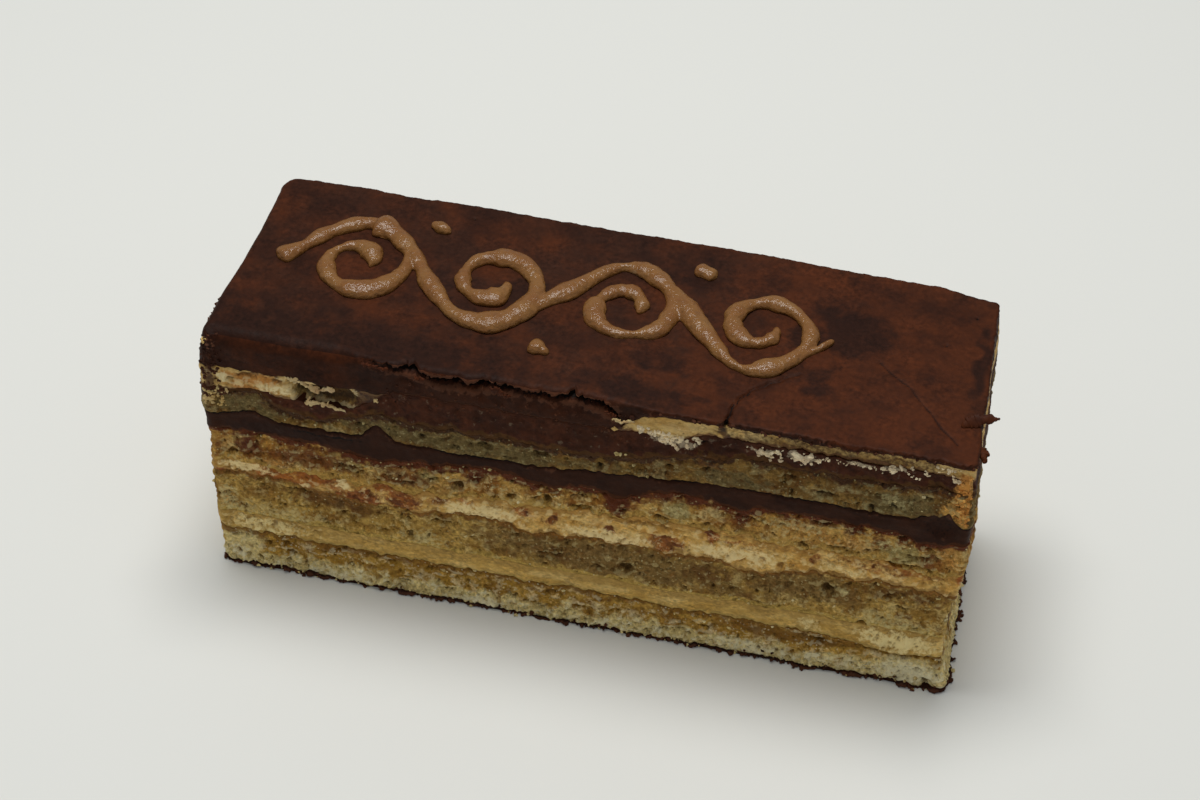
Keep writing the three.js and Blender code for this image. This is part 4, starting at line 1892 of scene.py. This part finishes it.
@dataclass
class Studio:
    """A pale table under a large soft lamp, seen from above the front.

    Attributes:
        azimuth, elevation, roll: of the camera, in degrees.
        distance: from the point that it aims at, in mm.
        aim: that point.
        lens: in mm, on a sensor 36 mm wide.
    """

    azimuth: float = 11.566
    elevation: float = 44.725
    roll: float = 1.658
    distance: float = 436.1
    aim: Triple = (-2.24, 7.04, 22.0)
    lens: float = 90.9

    def build(self) -> None:
        """Sets up the table, the light and the camera."""
        self.table()
        self.light()
        self.camera()

    def table(self) -> None:
        """A plain pale table top."""
        bpy.ops.mesh.primitive_plane_add(size=3.0)
        top = bpy.context.object
        top.name = "table"
        g = Graph("table_finish")
        shader = {"Base Color": g.coloured("dadbd8"), "Roughness": 0.8, "Specular IOR Level": 0.2}
        top.data.materials.append(g.finished(shader, g.patches(4.0, 0.3, 0.7), 0.002))

    def light(self) -> None:
        """A large lamp overhead, a little behind, and a pale room round it."""
        lamp = bpy.data.lights.new("ceiling_lamp", "AREA")
        lamp.shape = "RECTANGLE"
        lamp.size, lamp.size_y = 0.38, 0.2
        lamp.energy = 3.2
        lamp.color = linear("fffefa")[:3]
        holder = bpy.data.objects.new("ceiling_lamp", lamp)
        holder.location = (-0.05, 0.07, 0.62)
        aim = Vector((0, 0, 0.02)) - holder.location
        holder.rotation_euler = aim.to_track_quat("-Z", "Y").to_euler()
        bpy.context.scene.collection.objects.link(holder)
        world = bpy.data.worlds.new("room")
        world.use_nodes = True
        room = world.node_tree.nodes["Background"]
        room.inputs["Color"].default_value = linear("eaeced")
        room.inputs["Strength"].default_value = 0.38
        bpy.context.scene.world = world
        bpy.context.scene.view_settings.view_transform = "Standard"

    def camera(self) -> None:
        """The camera."""
        az, el = math.radians(self.azimuth), math.radians(self.elevation)
        back = Vector((math.cos(el) * math.sin(az), -math.cos(el) * math.cos(az), math.sin(el)))
        place = (Vector(self.aim) + back * self.distance) * MM
        tilt = Matrix.Rotation(math.radians(self.roll), 4, "Z")
        turn = (-back).to_track_quat("-Z", "Y").to_matrix().to_4x4() @ tilt
        data = bpy.data.cameras.new("camera")
        data.lens, data.sensor_width = self.lens, 36.0
        cam = bpy.data.objects.new("camera", data)
        cam.matrix_world = Matrix.Translation(place) @ turn
        bpy.context.scene.collection.objects.link(cam)
        bpy.context.scene.camera = cam


# Every layer from the underside up, with what its front face shows
LAYERS: tuple[Layer, ...] = (
    ChocolateLayer(
        "base_coat", "underside", "base_top", ChocolateFinish("2c170e", "3c1e12", patch=3, roughness=0.6),
        slot="base_chocolate", rough=0.15, grainy=0.5, spread=0.6, meets=0.05,
    ),
    SpongeLayer(
        "bottom_sponge", "base_top", "lower_cream_bottom",
        SpongeFinish(
            "ae8434", "c89e4c", soaked="84581c", grey="eed894", pale="fff4ca", roof="7a541e", shade_and_stain="644618",
        ),
        wet_top=1.1, dry_bottom=2.9, from_roof=0.4,
        soak=spots(
            (-19, 6.2, 5, 0.9, 0.6), (-4, 6, 5, 0.9, 0.6), (30, 5.9, 12, 1.6, 0.9), (-30, 4.5, 6, 1, 0.5),
            (12, 5.4, 6, 1, 0.5), (-44, 5.6, 5, 0.9, 0.5),
        ),
        # The second spot, at the left end, is painted light along that end
        pale=spots(
            (47.5, 2.4, 5.5, 2.6, 0.85), (-50.5, 3.2, 3, 1.6, 0.4), (-35, 1.4, 5, 1.4, 0.6),
            (25, 1.8, 7, 1.8, 0.6), (-14, 1, 6, 1.2, 0.6), (5, 1.2, 4, 1.4, 0.5), (38, 2.2, 4, 1.8, 0.5),
        ),
        grey=spots((47.5, 3, 5.5, 3.4), (-50, 4.4, 4.5, 3.4, 0.9)),
        # Painted shade under the lower cream's overhang
        shade_marks=spots((44.5, 6, 4.5, 0.6, 0.7)),
        forms=spots(
            (44.6, 6.2, 5.6, 1, -0.8), (-27, 6, 0.8, 0.6, -0.7), (-45.6, 5.2, 0.5, 0.5, -0.7),
            (50.5, 0.8, 1.2, 1.2, -0.7),
        ),
    ),
    CreamLayer(
        "lower_cream", "lower_cream_bottom", "lower_cream_top",
        ButtercreamFinish("cca658", "b48c40", pale="f2dc9c", roof="ac8844", floor="a88a48", contrast=0.42),
        ragged=0.12, stained=0.2, from_roof=1.8, from_floor=0.5,
        torn=spots((-45, 9, 10, 2.6), (33.5, 9, 2.4, 2), (46, 9, 8, 3)),
        pale=spots((-46, 9, 7, 1.8, 0.6), (33.5, 9, 1.8, 1.4, 0.6), (46, 8.8, 7, 2.2, 0.75)),
        forms=spots((46.5, 8.2, 6.5, 2.4, 0.6)),
    ),
    SpongeLayer(
        "lower_sponge", "lower_cream_top", "middle_cream_bottom",
        SpongeFinish(
            "ac843c", "caa558", soaked="6e4214", grey="84673a", pale="e2d092", roof="8e6028",
            floor="c4a254",
        ),
        wet_top=0.8, roughness=0.85, from_roof=0.8, from_floor=1.3,
        soak=spots(
            (-36, 17, 7, 1.8, 0.9), (-31.5, 16.8, 2.6, 2.8, 0.9), (-25, 16.7, 1.6, 1.4, 0.6),
            (46, 14.2, 1.4, 1, 0.8), (46, 18.4, 9, 1.8, 0.75), (18, 15.5, 4, 2, 0.6),
            (-3, 14.2, 4, 1.6, 0.5),
        ),
        grey=spots((4, 15, 22, 4.4), (31, 16.5, 11, 3.4, 0.9), (22, 13, 12, 2.4, 0.6)),
        toast=spots((-52.4, 14, 2.4, 5, 0.45), (-45, 16, 5, 1.5, 0.25)),
        # The first spot, at the left end, is painted light along that end
        pale=spots(
            (-51.5, 13, 2.6, 5, 0.5), (-44, 12, 9, 2.4, 0.45), (-22, 12.5, 5, 2, 0.4),
            (45, 12.4, 8, 2.4, 0.5), (37.5, 16.9, 0.9, 0.9, 0.7),
        ),
        # Painted shade in the two hollows
        shade_marks=spots((35.4, 17, 0.9, 0.9, 0.8), (7, 13.7, 1, 0.7, 0.6)),
        forms=spots(
            (7, 13.7, 1.2, 0.9, -1), (35.3, 17, 1, 1, -1.1), (-24.3, 12.6, 0.7, 1, -0.9),
            (40.6, 11, 0.7, 0.4, -0.8), (-4, 13.9, 1.8, 0.5, -0.6), (19.5, 12.9, 0.5, 0.4, -0.7),
            (-28, 12.5, 0.9, 0.4, -0.6),
        ),
    ),
    CreamLayer(
        "middle_cream", "middle_cream_bottom", "middle_cream_top",
        ButtercreamFinish(
            "dcb466", "c4903e", soaked="96490f", cored="4a2008", toast="ac661e", pale="f8dea0",
            roof="ac7e38", floor="987238", contrast=0.4, shade_and_stain="7c5422",
        ),
        ragged=0.8, stained=0.75, from_roof=1.6, from_floor=0.9,
        soak=spots(
            (-44, 20, 3.2, 1.7), (-38, 20.8, 3.6, 1.5), (-41.5, 18.8, 4, 1, 0.8), (-31, 18.4, 3.2, 1.8),
            (-25, 19.5, 3.4, 2.6, 0.8), (-34.5, 19.4, 1.6, 1.4, 0.6), (-28, 21.2, 2.4, 1, 0.7),
            (-16, 21.2, 1.4, 0.8, 0.6), (-51.5, 18.6, 1.6, 1.5, 0.8), (-47, 18.2, 2.4, 1, 0.7),
            (-20, 20.5, 2, 1.4, 0.7), (4.4, 21, 0.9, 0.9), (12.3, 20.2, 2.8, 1.8, 0.95),
            (18.7, 23.2, 1, 1.8, 0.95), (-8, 21.2, 2, 1, 0.8), (-3.6, 21, 1, 1.4, 0.95),
            (33.5, 22.8, 1, 1.3, 0.6), (43, 23, 9, 1.6, 0.45), (22, 22.8, 6, 0.6, 0.5),
        ),
        pale=spots(
            (-48, 20.6, 5, 1.1, 0.7), (-14, 19.8, 8, 1.8, 0.66), (4, 19.5, 8, 1.8, 0.66),
            (22, 20.4, 8, 1.8, 0.66), (40, 21.3, 8, 1, 0.45), (-34, 20.6, 1.2, 1.4, 0.7),
            (-40, 18.6, 1.4, 0.9, 0.6),
        ),
        toast=spots((-42, 20, 10, 2.4, 0.55)),
        # Painted shade along the cracks
        shade_marks=spots((10, 23.4, 5, 0.25, 0.8), (10, 21.5, 5, 0.2, 0.7), (25, 22, 5, 0.2, 0.7)),
        forms=spots((10, 23.4, 5, 0.3, -0.5), (12.3, 20.2, 2.2, 1.4, -0.4), (28.5, 19.8, 0.8, 0.8, -0.6)),
    ),
    SpongeLayer(
        "upper_sponge", "middle_cream_top", "ganache_bottom",
        SpongeFinish(
            "b28038", "d4aa5c", soaked="74390f", grey="a4925a", pale="ecdc9e", roof="602c14",
            floor="c49c50",
        ),
        wet_top=1.5, from_roof=1.5, from_floor=1.3,
        runs=spots(
            (5.5, 27.4, 1.7, 3.4, 0.9), (22.4, 28.8, 1, 2.6, 0.9), (-14.6, 27, 1.2, 2.2, 0.8),
            (-47.8, 25, 2.2, 2, 0.6), (-3.5, 28.2, 2.4, 1.4, 0.7), (41.5, 29, 1.2, 1.6, 0.6),
            (-37.5, 26.2, 1.6, 1.6, 0.5),
        ),
        soak=spots(
            (-47.5, 24.7, 2.4, 2.4), (-52.5, 23, 1.8, 2.4, 0.6), (-15, 27.5, 1.8, 2.8),
            (5.5, 26.6, 2.3, 4.6), (22.3, 28.4, 1.9, 3.6), (-8.5, 27.5, 1.6, 1.4), (-38, 24.4, 8, 2.2, 0.8),
            (-25, 24, 5, 2.4, 0.75), (42, 27.6, 1.4, 2, 0.6), (48.5, 25.6, 1.8, 2, 0.7),
            (-17.5, 24.6, 1.6, 1.6, 0.7),
        ),
        grey=spots(
            (-33, 25, 4, 2.2, 0.7), (-22, 25.3, 3, 2, 0.6), (14, 27.2, 3, 2.2, 0.9),
            (45, 26.5, 4.5, 2.4, 0.9), (0, 28, 2.6, 2, 0.7), (28, 28.5, 5, 2, 0.4),
        ),
        pale=spots(
            (30, 28, 5, 1.8, 0.4), (43, 27.5, 4, 2, 0.35), (14, 27, 3, 1.6, 0.4), (-11, 25.5, 3, 1.4, 0.3),
        ),
        toast=spots(
            (34, 27, 11, 3, 0.4), (51.5, 27, 2, 4, 0.5), (-50.5, 24, 2, 3, 0.4), (-44, 22.5, 4, 0.8, 0.5),
        ),
        # Painted shade in the two hollows
        shade_marks=spots((-17.3, 24.3, 0.8, 1, 0.7), (-4.5, 24.8, 0.8, 0.9, 0.7)),
        forms=spots(
            (-17.3, 24.3, 0.9, 1.1, -1), (-4.5, 24.8, 0.9, 1, -1), (-9.6, 23.9, 1, 0.5, -0.8),
            (11.5, 25, 1.5, 0.4, -0.8), (0.5, 24.4, 1.8, 0.4, -0.7), (-24, 23.3, 1.2, 0.5, -0.7),
            (45, 24.2, 4.5, 0.4, -0.7), (36, 25.5, 1.8, 0.4, -0.7),
        ),
    ),
    ChocolateLayer(
        "ganache", "ganache_bottom", "ganache_top",
        ChocolateFinish("311b11", "3c2013", grey="2a1710", floor="4a2814", patch=5), crevice=0.4,
        from_floor=0.6,
        # Painted shade along the overhang at the left and over the notch at the right, in these spots and
        # in the greyish ones
        shade_marks=spots((49.2, 33, 3.2, 2.6, 0.3), (-36, 29.6, 7, 0.25, 0.7)),
        grey=spots((-42, 29, 10, 2, 0.8), (49.5, 33.5, 4, 3.5, 0.5)),
        forms=spots((49.6, 33.2, 2.4, 2.2, -0.6)),
        soak=spots(
            (22.5, 31.8, 4, 0.9, 0.9), (28, 31.6, 3, 0.8, 0.8), (16, 31.3, 2, 0.8, 0.8),
            (37.5, 32, 2, 0.7, 0.6),
        ),
    ),
    SpongeLayer(
        "top_sponge", "ganache_top", "film_bottom",
        SpongeFinish(
            "785a2c", "98763c", soaked="5a3210", grey="73623c", pale="c8ba84", shade_and_stain="1f150a", roof="4a2e18",
            toast="f2b862", grain=0.5,
        ),
        wet_top=1.0, roughness=0.85, from_roof=1.1,
        soak=spots(
            (46, 40.3, 6, 1.5, 0.8), (30, 39.3, 9, 1.3, 0.6), (-12, 34.8, 5, 1, 0.6),
            (17, 37.8, 4, 1.4, 0.6), (-40, 34, 6, 1.4, 0.8),
        ),
        grey=spots(
            (-46, 33, 6, 3), (-30, 34, 5, 4.4), (-15, 32.5, 16, 2.2), (44, 35.8, 6, 2.8),
            (21, 35, 6, 1.8, 0.9), (4, 33, 5, 1.2, 0.6),
        ),
        pale=spots((43, 36.2, 2.6, 1.6, 0.5), (5.7, 36.3, 1.1, 0.7, 0.7)),
        toast=spots((52.8, 38, 2.6, 4.6), (50.4, 36.4, 1.6, 1.4, 0.6)),
        torn=spots((52.5, 38, 2.6, 4.6)),
        forms=spots(
            (33.5, 35.3, 1.4, 0.7, -0.8), (40, 34.3, 0.6, 0.6, -0.7), (2.8, 33.3, 0.6, 0.5, -0.7),
            (-22, 33, 0.6, 0.5, -0.7),
        ),
    ),
    ChocolateLayer(
        "chocolate_film", "film_bottom", "top_cream_bottom",
        ChocolateFinish(
            "3c2013", "4e2919", grey="2c1812", pale="b0a086", toast="dc9a4c", floor="503418", patch=3,
            roughness=0.55, contrast=0.42,
        ),
        rough=0.14, grainy=0.22, from_floor=1.2,
        torn=spots(
            (-52, 37, 2, 6), (-27, 38.5, 4, 1.5, 0.5), (18, 41.2, 4, 1.2, 0.7), (-12, 38.6, 10, 1.6, 0.4),
        ),
        toast=spots((52.6, 40.5, 2, 3.5)),
        pale=spots(
            (12.5, 40.4, 3.6, 1, 0.9), (25, 41.6, 2.4, 0.5, 0.7), (30, 41.7, 2, 0.7, 0.95),
            (37.6, 42.1, 2.2, 0.5, 0.8), (43, 42.5, 2.4, 0.4, 0.7),
        ),
        soak=spots((-38, 34.5, 8, 2.5), (-27, 38.5, 4, 1.5, 0.7), (48, 40.5, 5, 2, 0.6)),
    ),
    CreamLayer(
        "top_cream", "top_cream_bottom", "top_cream_top",
        ButtercreamFinish(
            "d0ae6a", "b88c44", soaked="4a2614", cored="34190f", toast="c08038", pale="f0dca8",
            shade_and_stain="160c03", grey="482a0a", floor="6a4628", contrast=0.3,
        ),
        ragged=0.3, stained=0.15, from_floor=0.6,
        torn=spots((-47, 38, 7, 3.4, 0.7), (-41, 38, 6, 3, 0.6), (13, 41, 5, 1.5, 0.6), (51, 43, 3, 2)),
        # The spot at 19.6 along the slice is painted shade at the crack's mouth
        soak=spots(
            (-52.8, 38, 1.8, 4), (-29, 38, 3.4, 4), (-44.6, 39.4, 3.4, 0.5, 0.7), (19.6, 43.5, 0.7, 2, 0.9),
            (-46.5, 35.8, 2, 0.6, 0.8), (-44, 36.2, 1.2, 0.9, 0.5), (-46.4, 37.9, 1.6, 0.35, 0.6),
        ),
        # Painted shade in the hollow at the left; under the glaze's lip on the right, painted shade and a
        # smear of chocolate
        grey=spots((-35.5, 37.2, 5.2, 2.2, 0.95), (36, 43.8, 20, 3, 0.62)),
        # Painted shade in the hollows, under the glaze's lip and at the crack's mouth
        shade_marks=spots(
            (-47.4, 38.7, 1.2, 0.3, 0.6), (-42.6, 38.6, 1, 0.25, 0.6), (-38.8, 37.4, 1.7, 1.8),
            (-36.4, 36.4, 2.6, 0.7, 0.9), (-40.5, 38.9, 0.8, 0.7), (35, 44.8, 18, 0.3, 0.5),
            (19.7, 44.2, 0.6, 1, 0.9),
        ),
        toast=spots((52.6, 42.6, 2, 1.6), (-46, 38.4, 5, 1.1, 0.8), (-46, 36.6, 5, 1, 0.7)),
        pale=spots((-50.4, 37.8, 0.9, 1.4, 0.7), (-42.5, 37, 2.8, 1.2, 0.6), (13, 40.4, 4, 1.1, 0.8)),
        forms=spots(
            (-38.5, 37.3, 2.2, 1.9, -2.4), (-35, 37.4, 4.6, 2.1, -1.8), (-40.5, 38.9, 0.9, 0.8, -1),
            (35, 43.8, 18, 1.6, -0.35), (-46, 37.4, 5.5, 1.5, 0.5), (-47.4, 38.7, 1.4, 0.4, -0.7),
            (-42.6, 38.6, 1.2, 0.35, -0.6), (-49.2, 37.6, 0.7, 0.6, -0.6), (-44.5, 36.3, 1.6, 0.35, -0.4),
            (-49.6, 36.6, 0.8, 0.5, -0.4),
        ),
    ),
    GlazeLayer(
        "glaze", "top_cream_top", "top",
        ChocolateFinish("321b11", "45210f", grey="22110b", floor="3a1f13", patch=6, contrast=0.36),
        torn=spots((-52.5, 42, 2, 5)),
        pale=spots((-52, 44, 1.2, 1.5, 0.4)),
    ),
)


def drawn(rng: np.random.Generator, count: int, x: Pair, z: Pair, radius: Pair) -> list[Triple]:
    """Draws crumbs for the front, each value evenly between its limits."""
    return [(rng.uniform(*x), rng.uniform(*z), rng.uniform(*radius)) for _ in range(count)]


def make_beads(rng: np.random.Generator) -> list[Triple]:
    """Draws the beads of cream along the upper cream's lower edge, from left to right.

    Args:
        rng: draws the small ones.

    Returns:
        Place along the slice, height and radius of each, in mm.
    """
    beads = [
        (24.5, 41.5, 0.5), (26.0, 41.4, 0.45), (27.2, 42.0, 0.7), (29.5, 41.5, 0.9), (31.0, 41.8, 0.95),
        (33.0, 42.0, 0.35), (36.0, 41.6, 0.45), (37.0, 42.3, 0.5), (38.2, 42.0, 0.45), (39.2, 41.9, 0.35),
        (41.0, 42.2, 0.4), (42.2, 42.4, 0.45), (43.3, 42.7, 0.4), (44.5, 42.9, 0.4), (46.5, 42.5, 0.55),
        (51.0, 42.0, 0.4),
    ]
    for _ in range(60):
        along, up = rng.uniform(8.0, 17.0), rng.uniform(0, 1)
        off = abs(along - 13)
        beads.append((along, 39.2 + 0.42 * off + up * (2.0 - 0.22 * off), rng.uniform(0.2, 0.5)))
    for count, x, height, radius in (
        (34, (24, 33), 41.2, (0.2, 0.45)),
        (44, (22, 47), 41.9, (0.12, 0.28)),
    ):
        for _ in range(count):
            beads.append((rng.uniform(*x), rng.normal(height, 0.4), rng.uniform(*radius)))
    return beads + drawn(rng, 16, (48, 51.5), (42, 44), (0.2, 0.4))


def make_shreds() -> tuple[Shred, ...]:
    """Names the torn strips of cream in the hollow at the left and on the smear."""
    y = -WIDTH / 2
    curled = (
        (-41, y, 39.7), (-39.6, y - 0.1, 39.5), (-38, y, 38.5), (-36.6, y, 38.4), (-34.2, y, 39.0),
    )
    lying = ((-38.6, y, 35.3), (-37.2, y, 35.9), (-36, y, 35.8), (-34.6, y, 35.6), (-32.8, y, 35.1))
    return (
        Shred(curled, 0.42, 0.16),
        Shred(lying, 0.42, 0.16, taper=0.6),
        Shred(((-38.4, y, 35.6), (-38.0, y - 0.1, 36.8)), 0.22, taper=0.7),
        Shred(((-35.6, y, 35.8), (-35.2, y - 0.1, 36.6)), 0.2, taper=0.7),
        Shred(((4.4, y - 0.35, 43.0), (5.8, y - 0.4, 42.8), (7.4, y - 0.3, 43.1)), 0.22, 0.12),
    )


def make_shards() -> tuple[Shred, ...]:
    """Names the shards of glaze along the ledge and the lifted flake at the right end."""
    y = -WIDTH / 2 - 0.75
    flake = ((50.0, -9.8, 45.7), (51.4, -9.0, 46.2), (53.2, -8.4, 46.5), (54.9, -8.0, 46.5))
    bit = ((52.6, -12.4, 45.3), (53.5, -13.4, 45.0), (53.9, -14.6, 44.6))
    return (
        Shred(((-12.4, y, 45.2), (-11, y, 44.8), (-9.4, y, 44.0)), 0.42, 0.2),
        Shred(((-30.2, y, 45.6), (-28, y, 45.3), (-26.4, y, 45.3)), 0.2, 0.2),
        Shred(((-22.8, y, 44.6), (-21.3, y, 44.3)), 0.25, 0.2),
        Shred(((3.4, y, 44.6), (5, y, 44.0)), 0.25, 0.2),
        Shred(flake, 1.05, 0.26, (0.1, -0.6, 0.8), 0.55, 0.35),
        Shred(bit, 0.7, 0.3, (0, 0, 1), 0.3, 0.5),
    )


def make_trimmings(skin: Skin) -> list[Trimming]:
    """Names the crumbs and torn strips that lie on the cut faces.

    Args:
        skin: the faces.

    Returns:
        The pieces, one for each kind.
    """
    rng = np.random.default_rng(SEED)
    beads = make_beads(rng)
    yellow = [
        (-52.5, 44.2, 0.5), (-28.5, 38.2, 0.4), (-50.0, 35.2, 0.4), (4.6, 41.0, 0.4), (-51.2, 35.6, 0.35),
    ]
    yellow += drawn(rng, 40, (-53.6, -50), (32.2, 35.4), (0.2, 0.5))
    brown = drawn(rng, 90, (-53.8, -50.6), (34, 45), (0.14, 0.36))
    brown += drawn(rng, 130, (-27, 6), (38.8, 44.2), (0.1, 0.28))
    toasted = drawn(rng, 130, (50.8, 54), (34.6, 43.4), (0.14, 0.36))
    light = [
        (-23.5, 23.5, 0.4), (-12.5, 28.7, 0.35), (5.2, 36.2, 0.35), (5.7, 36.3, 0.3), (6.3, 36.5, 0.25),
        (43, 36.2, 0.3),
    ]
    back_right = Region(x=(50.4, LENGTH), y=(15.5, WIDTH))
    left_front = Region(x=(-LENGTH, -50), y=(-WIDTH, -8))
    right_front = Region(x=(6, LENGTH), y=(-WIDTH, -15))
    dry = [
        ("bottom_sponge", 640, (0.0, 0.28)), ("bottom_sponge", 160, (0.3, 1.0)),
        ("upper_sponge", 80, (0.05, 0.9)), ("lower_sponge", 70, (0.05, 0.9)),
        ("top_sponge", 36, (0.05, 0.7)), ("base_coat", 90, (0.3, 1.0)),
    ]
    flecks = [
        ("base_coat", 260, (0.2, 1.0)), ("bottom_sponge", 90, (0.0, 0.12)),
        ("bottom_sponge", 26, (0.0, 1.0), back_right), ("lower_sponge", 18, (0.0, 0.8), back_right),
        ("chocolate_film", 70, (0.1, 0.9), left_front), ("glaze", 60, (0.0, 0.7), left_front),
        ("glaze", 40, (0.1, 0.9), right_front),
    ]
    mixed = []
    for crumbs, sown, limits in ((light, dry, (0.1, 0.3)), (brown, flecks, (0.12, 0.34))):
        points, radii = skin.on_front(crumbs)
        extra = np.concatenate([skin.sown(*belt) for belt in sown])
        sizes = rng.uniform(*limits, len(extra))
        mixed.append((np.concatenate([points, extra]), np.concatenate([radii, sizes])))
    white = ButtercreamFinish("f8e6c0", "d0b894", contrast=0.4)
    yellowed = ButtercreamFinish("d8c080", "c09a58")
    browned = SpongeFinish("e4a050", "f0b868", soaked="a05c1e", pale="f4ca84")
    dried = SpongeFinish("dcc88a", "ecdca4", soaked="b8964e", pale="f8ecc4")
    brittle = ChocolateFinish("4c2c1e", "603a26", pale="7a4c34")
    torn = ButtercreamFinish("d8c28c", "b08a5c", soaked="7a4a30")
    broken = ChocolateFinish("42200f", "502814", pale="7a4c34")
    return [
        Crumbs("cream_beads", "top_cream", white, *skin.on_front(beads)),
        Crumbs("cream_crumbs", "top_cream", yellowed, *skin.on_front(yellow)),
        Crumbs("toasted_crumbs", "top_sponge", browned, *skin.on_front(toasted)),
        Crumbs("sponge_crumbs", "bottom_sponge", dried, *mixed[0]),
        Crumbs("chocolate_crumbs", "base_chocolate", brittle, *mixed[1]),
        Shreds("cream_shreds", "top_cream", torn, make_shreds()),
        Shreds("glaze_shards", "glaze", broken, make_shards()),
    ]


def main() -> None:
    """Builds the slice and its studio."""
    logging.basicConfig(level=logging.INFO, format="%(name)s: %(message)s")
    ring = Ring()
    layers = {layer.node: layer for layer in LAYERS}
    pieces = [layer.build(ring) for layer in layers.values()]
    pieces.append(PipedScroll().build())
    pieces += [trimming.build() for trimming in make_trimmings(Skin(layers))]
    for piece in pieces:
        piece.data.calc_loop_triangles()
        log.info("%s: %d triangles", piece.name, len(piece.data.loop_triangles))
    Studio().build()


if __name__ == "__main__":
    main()
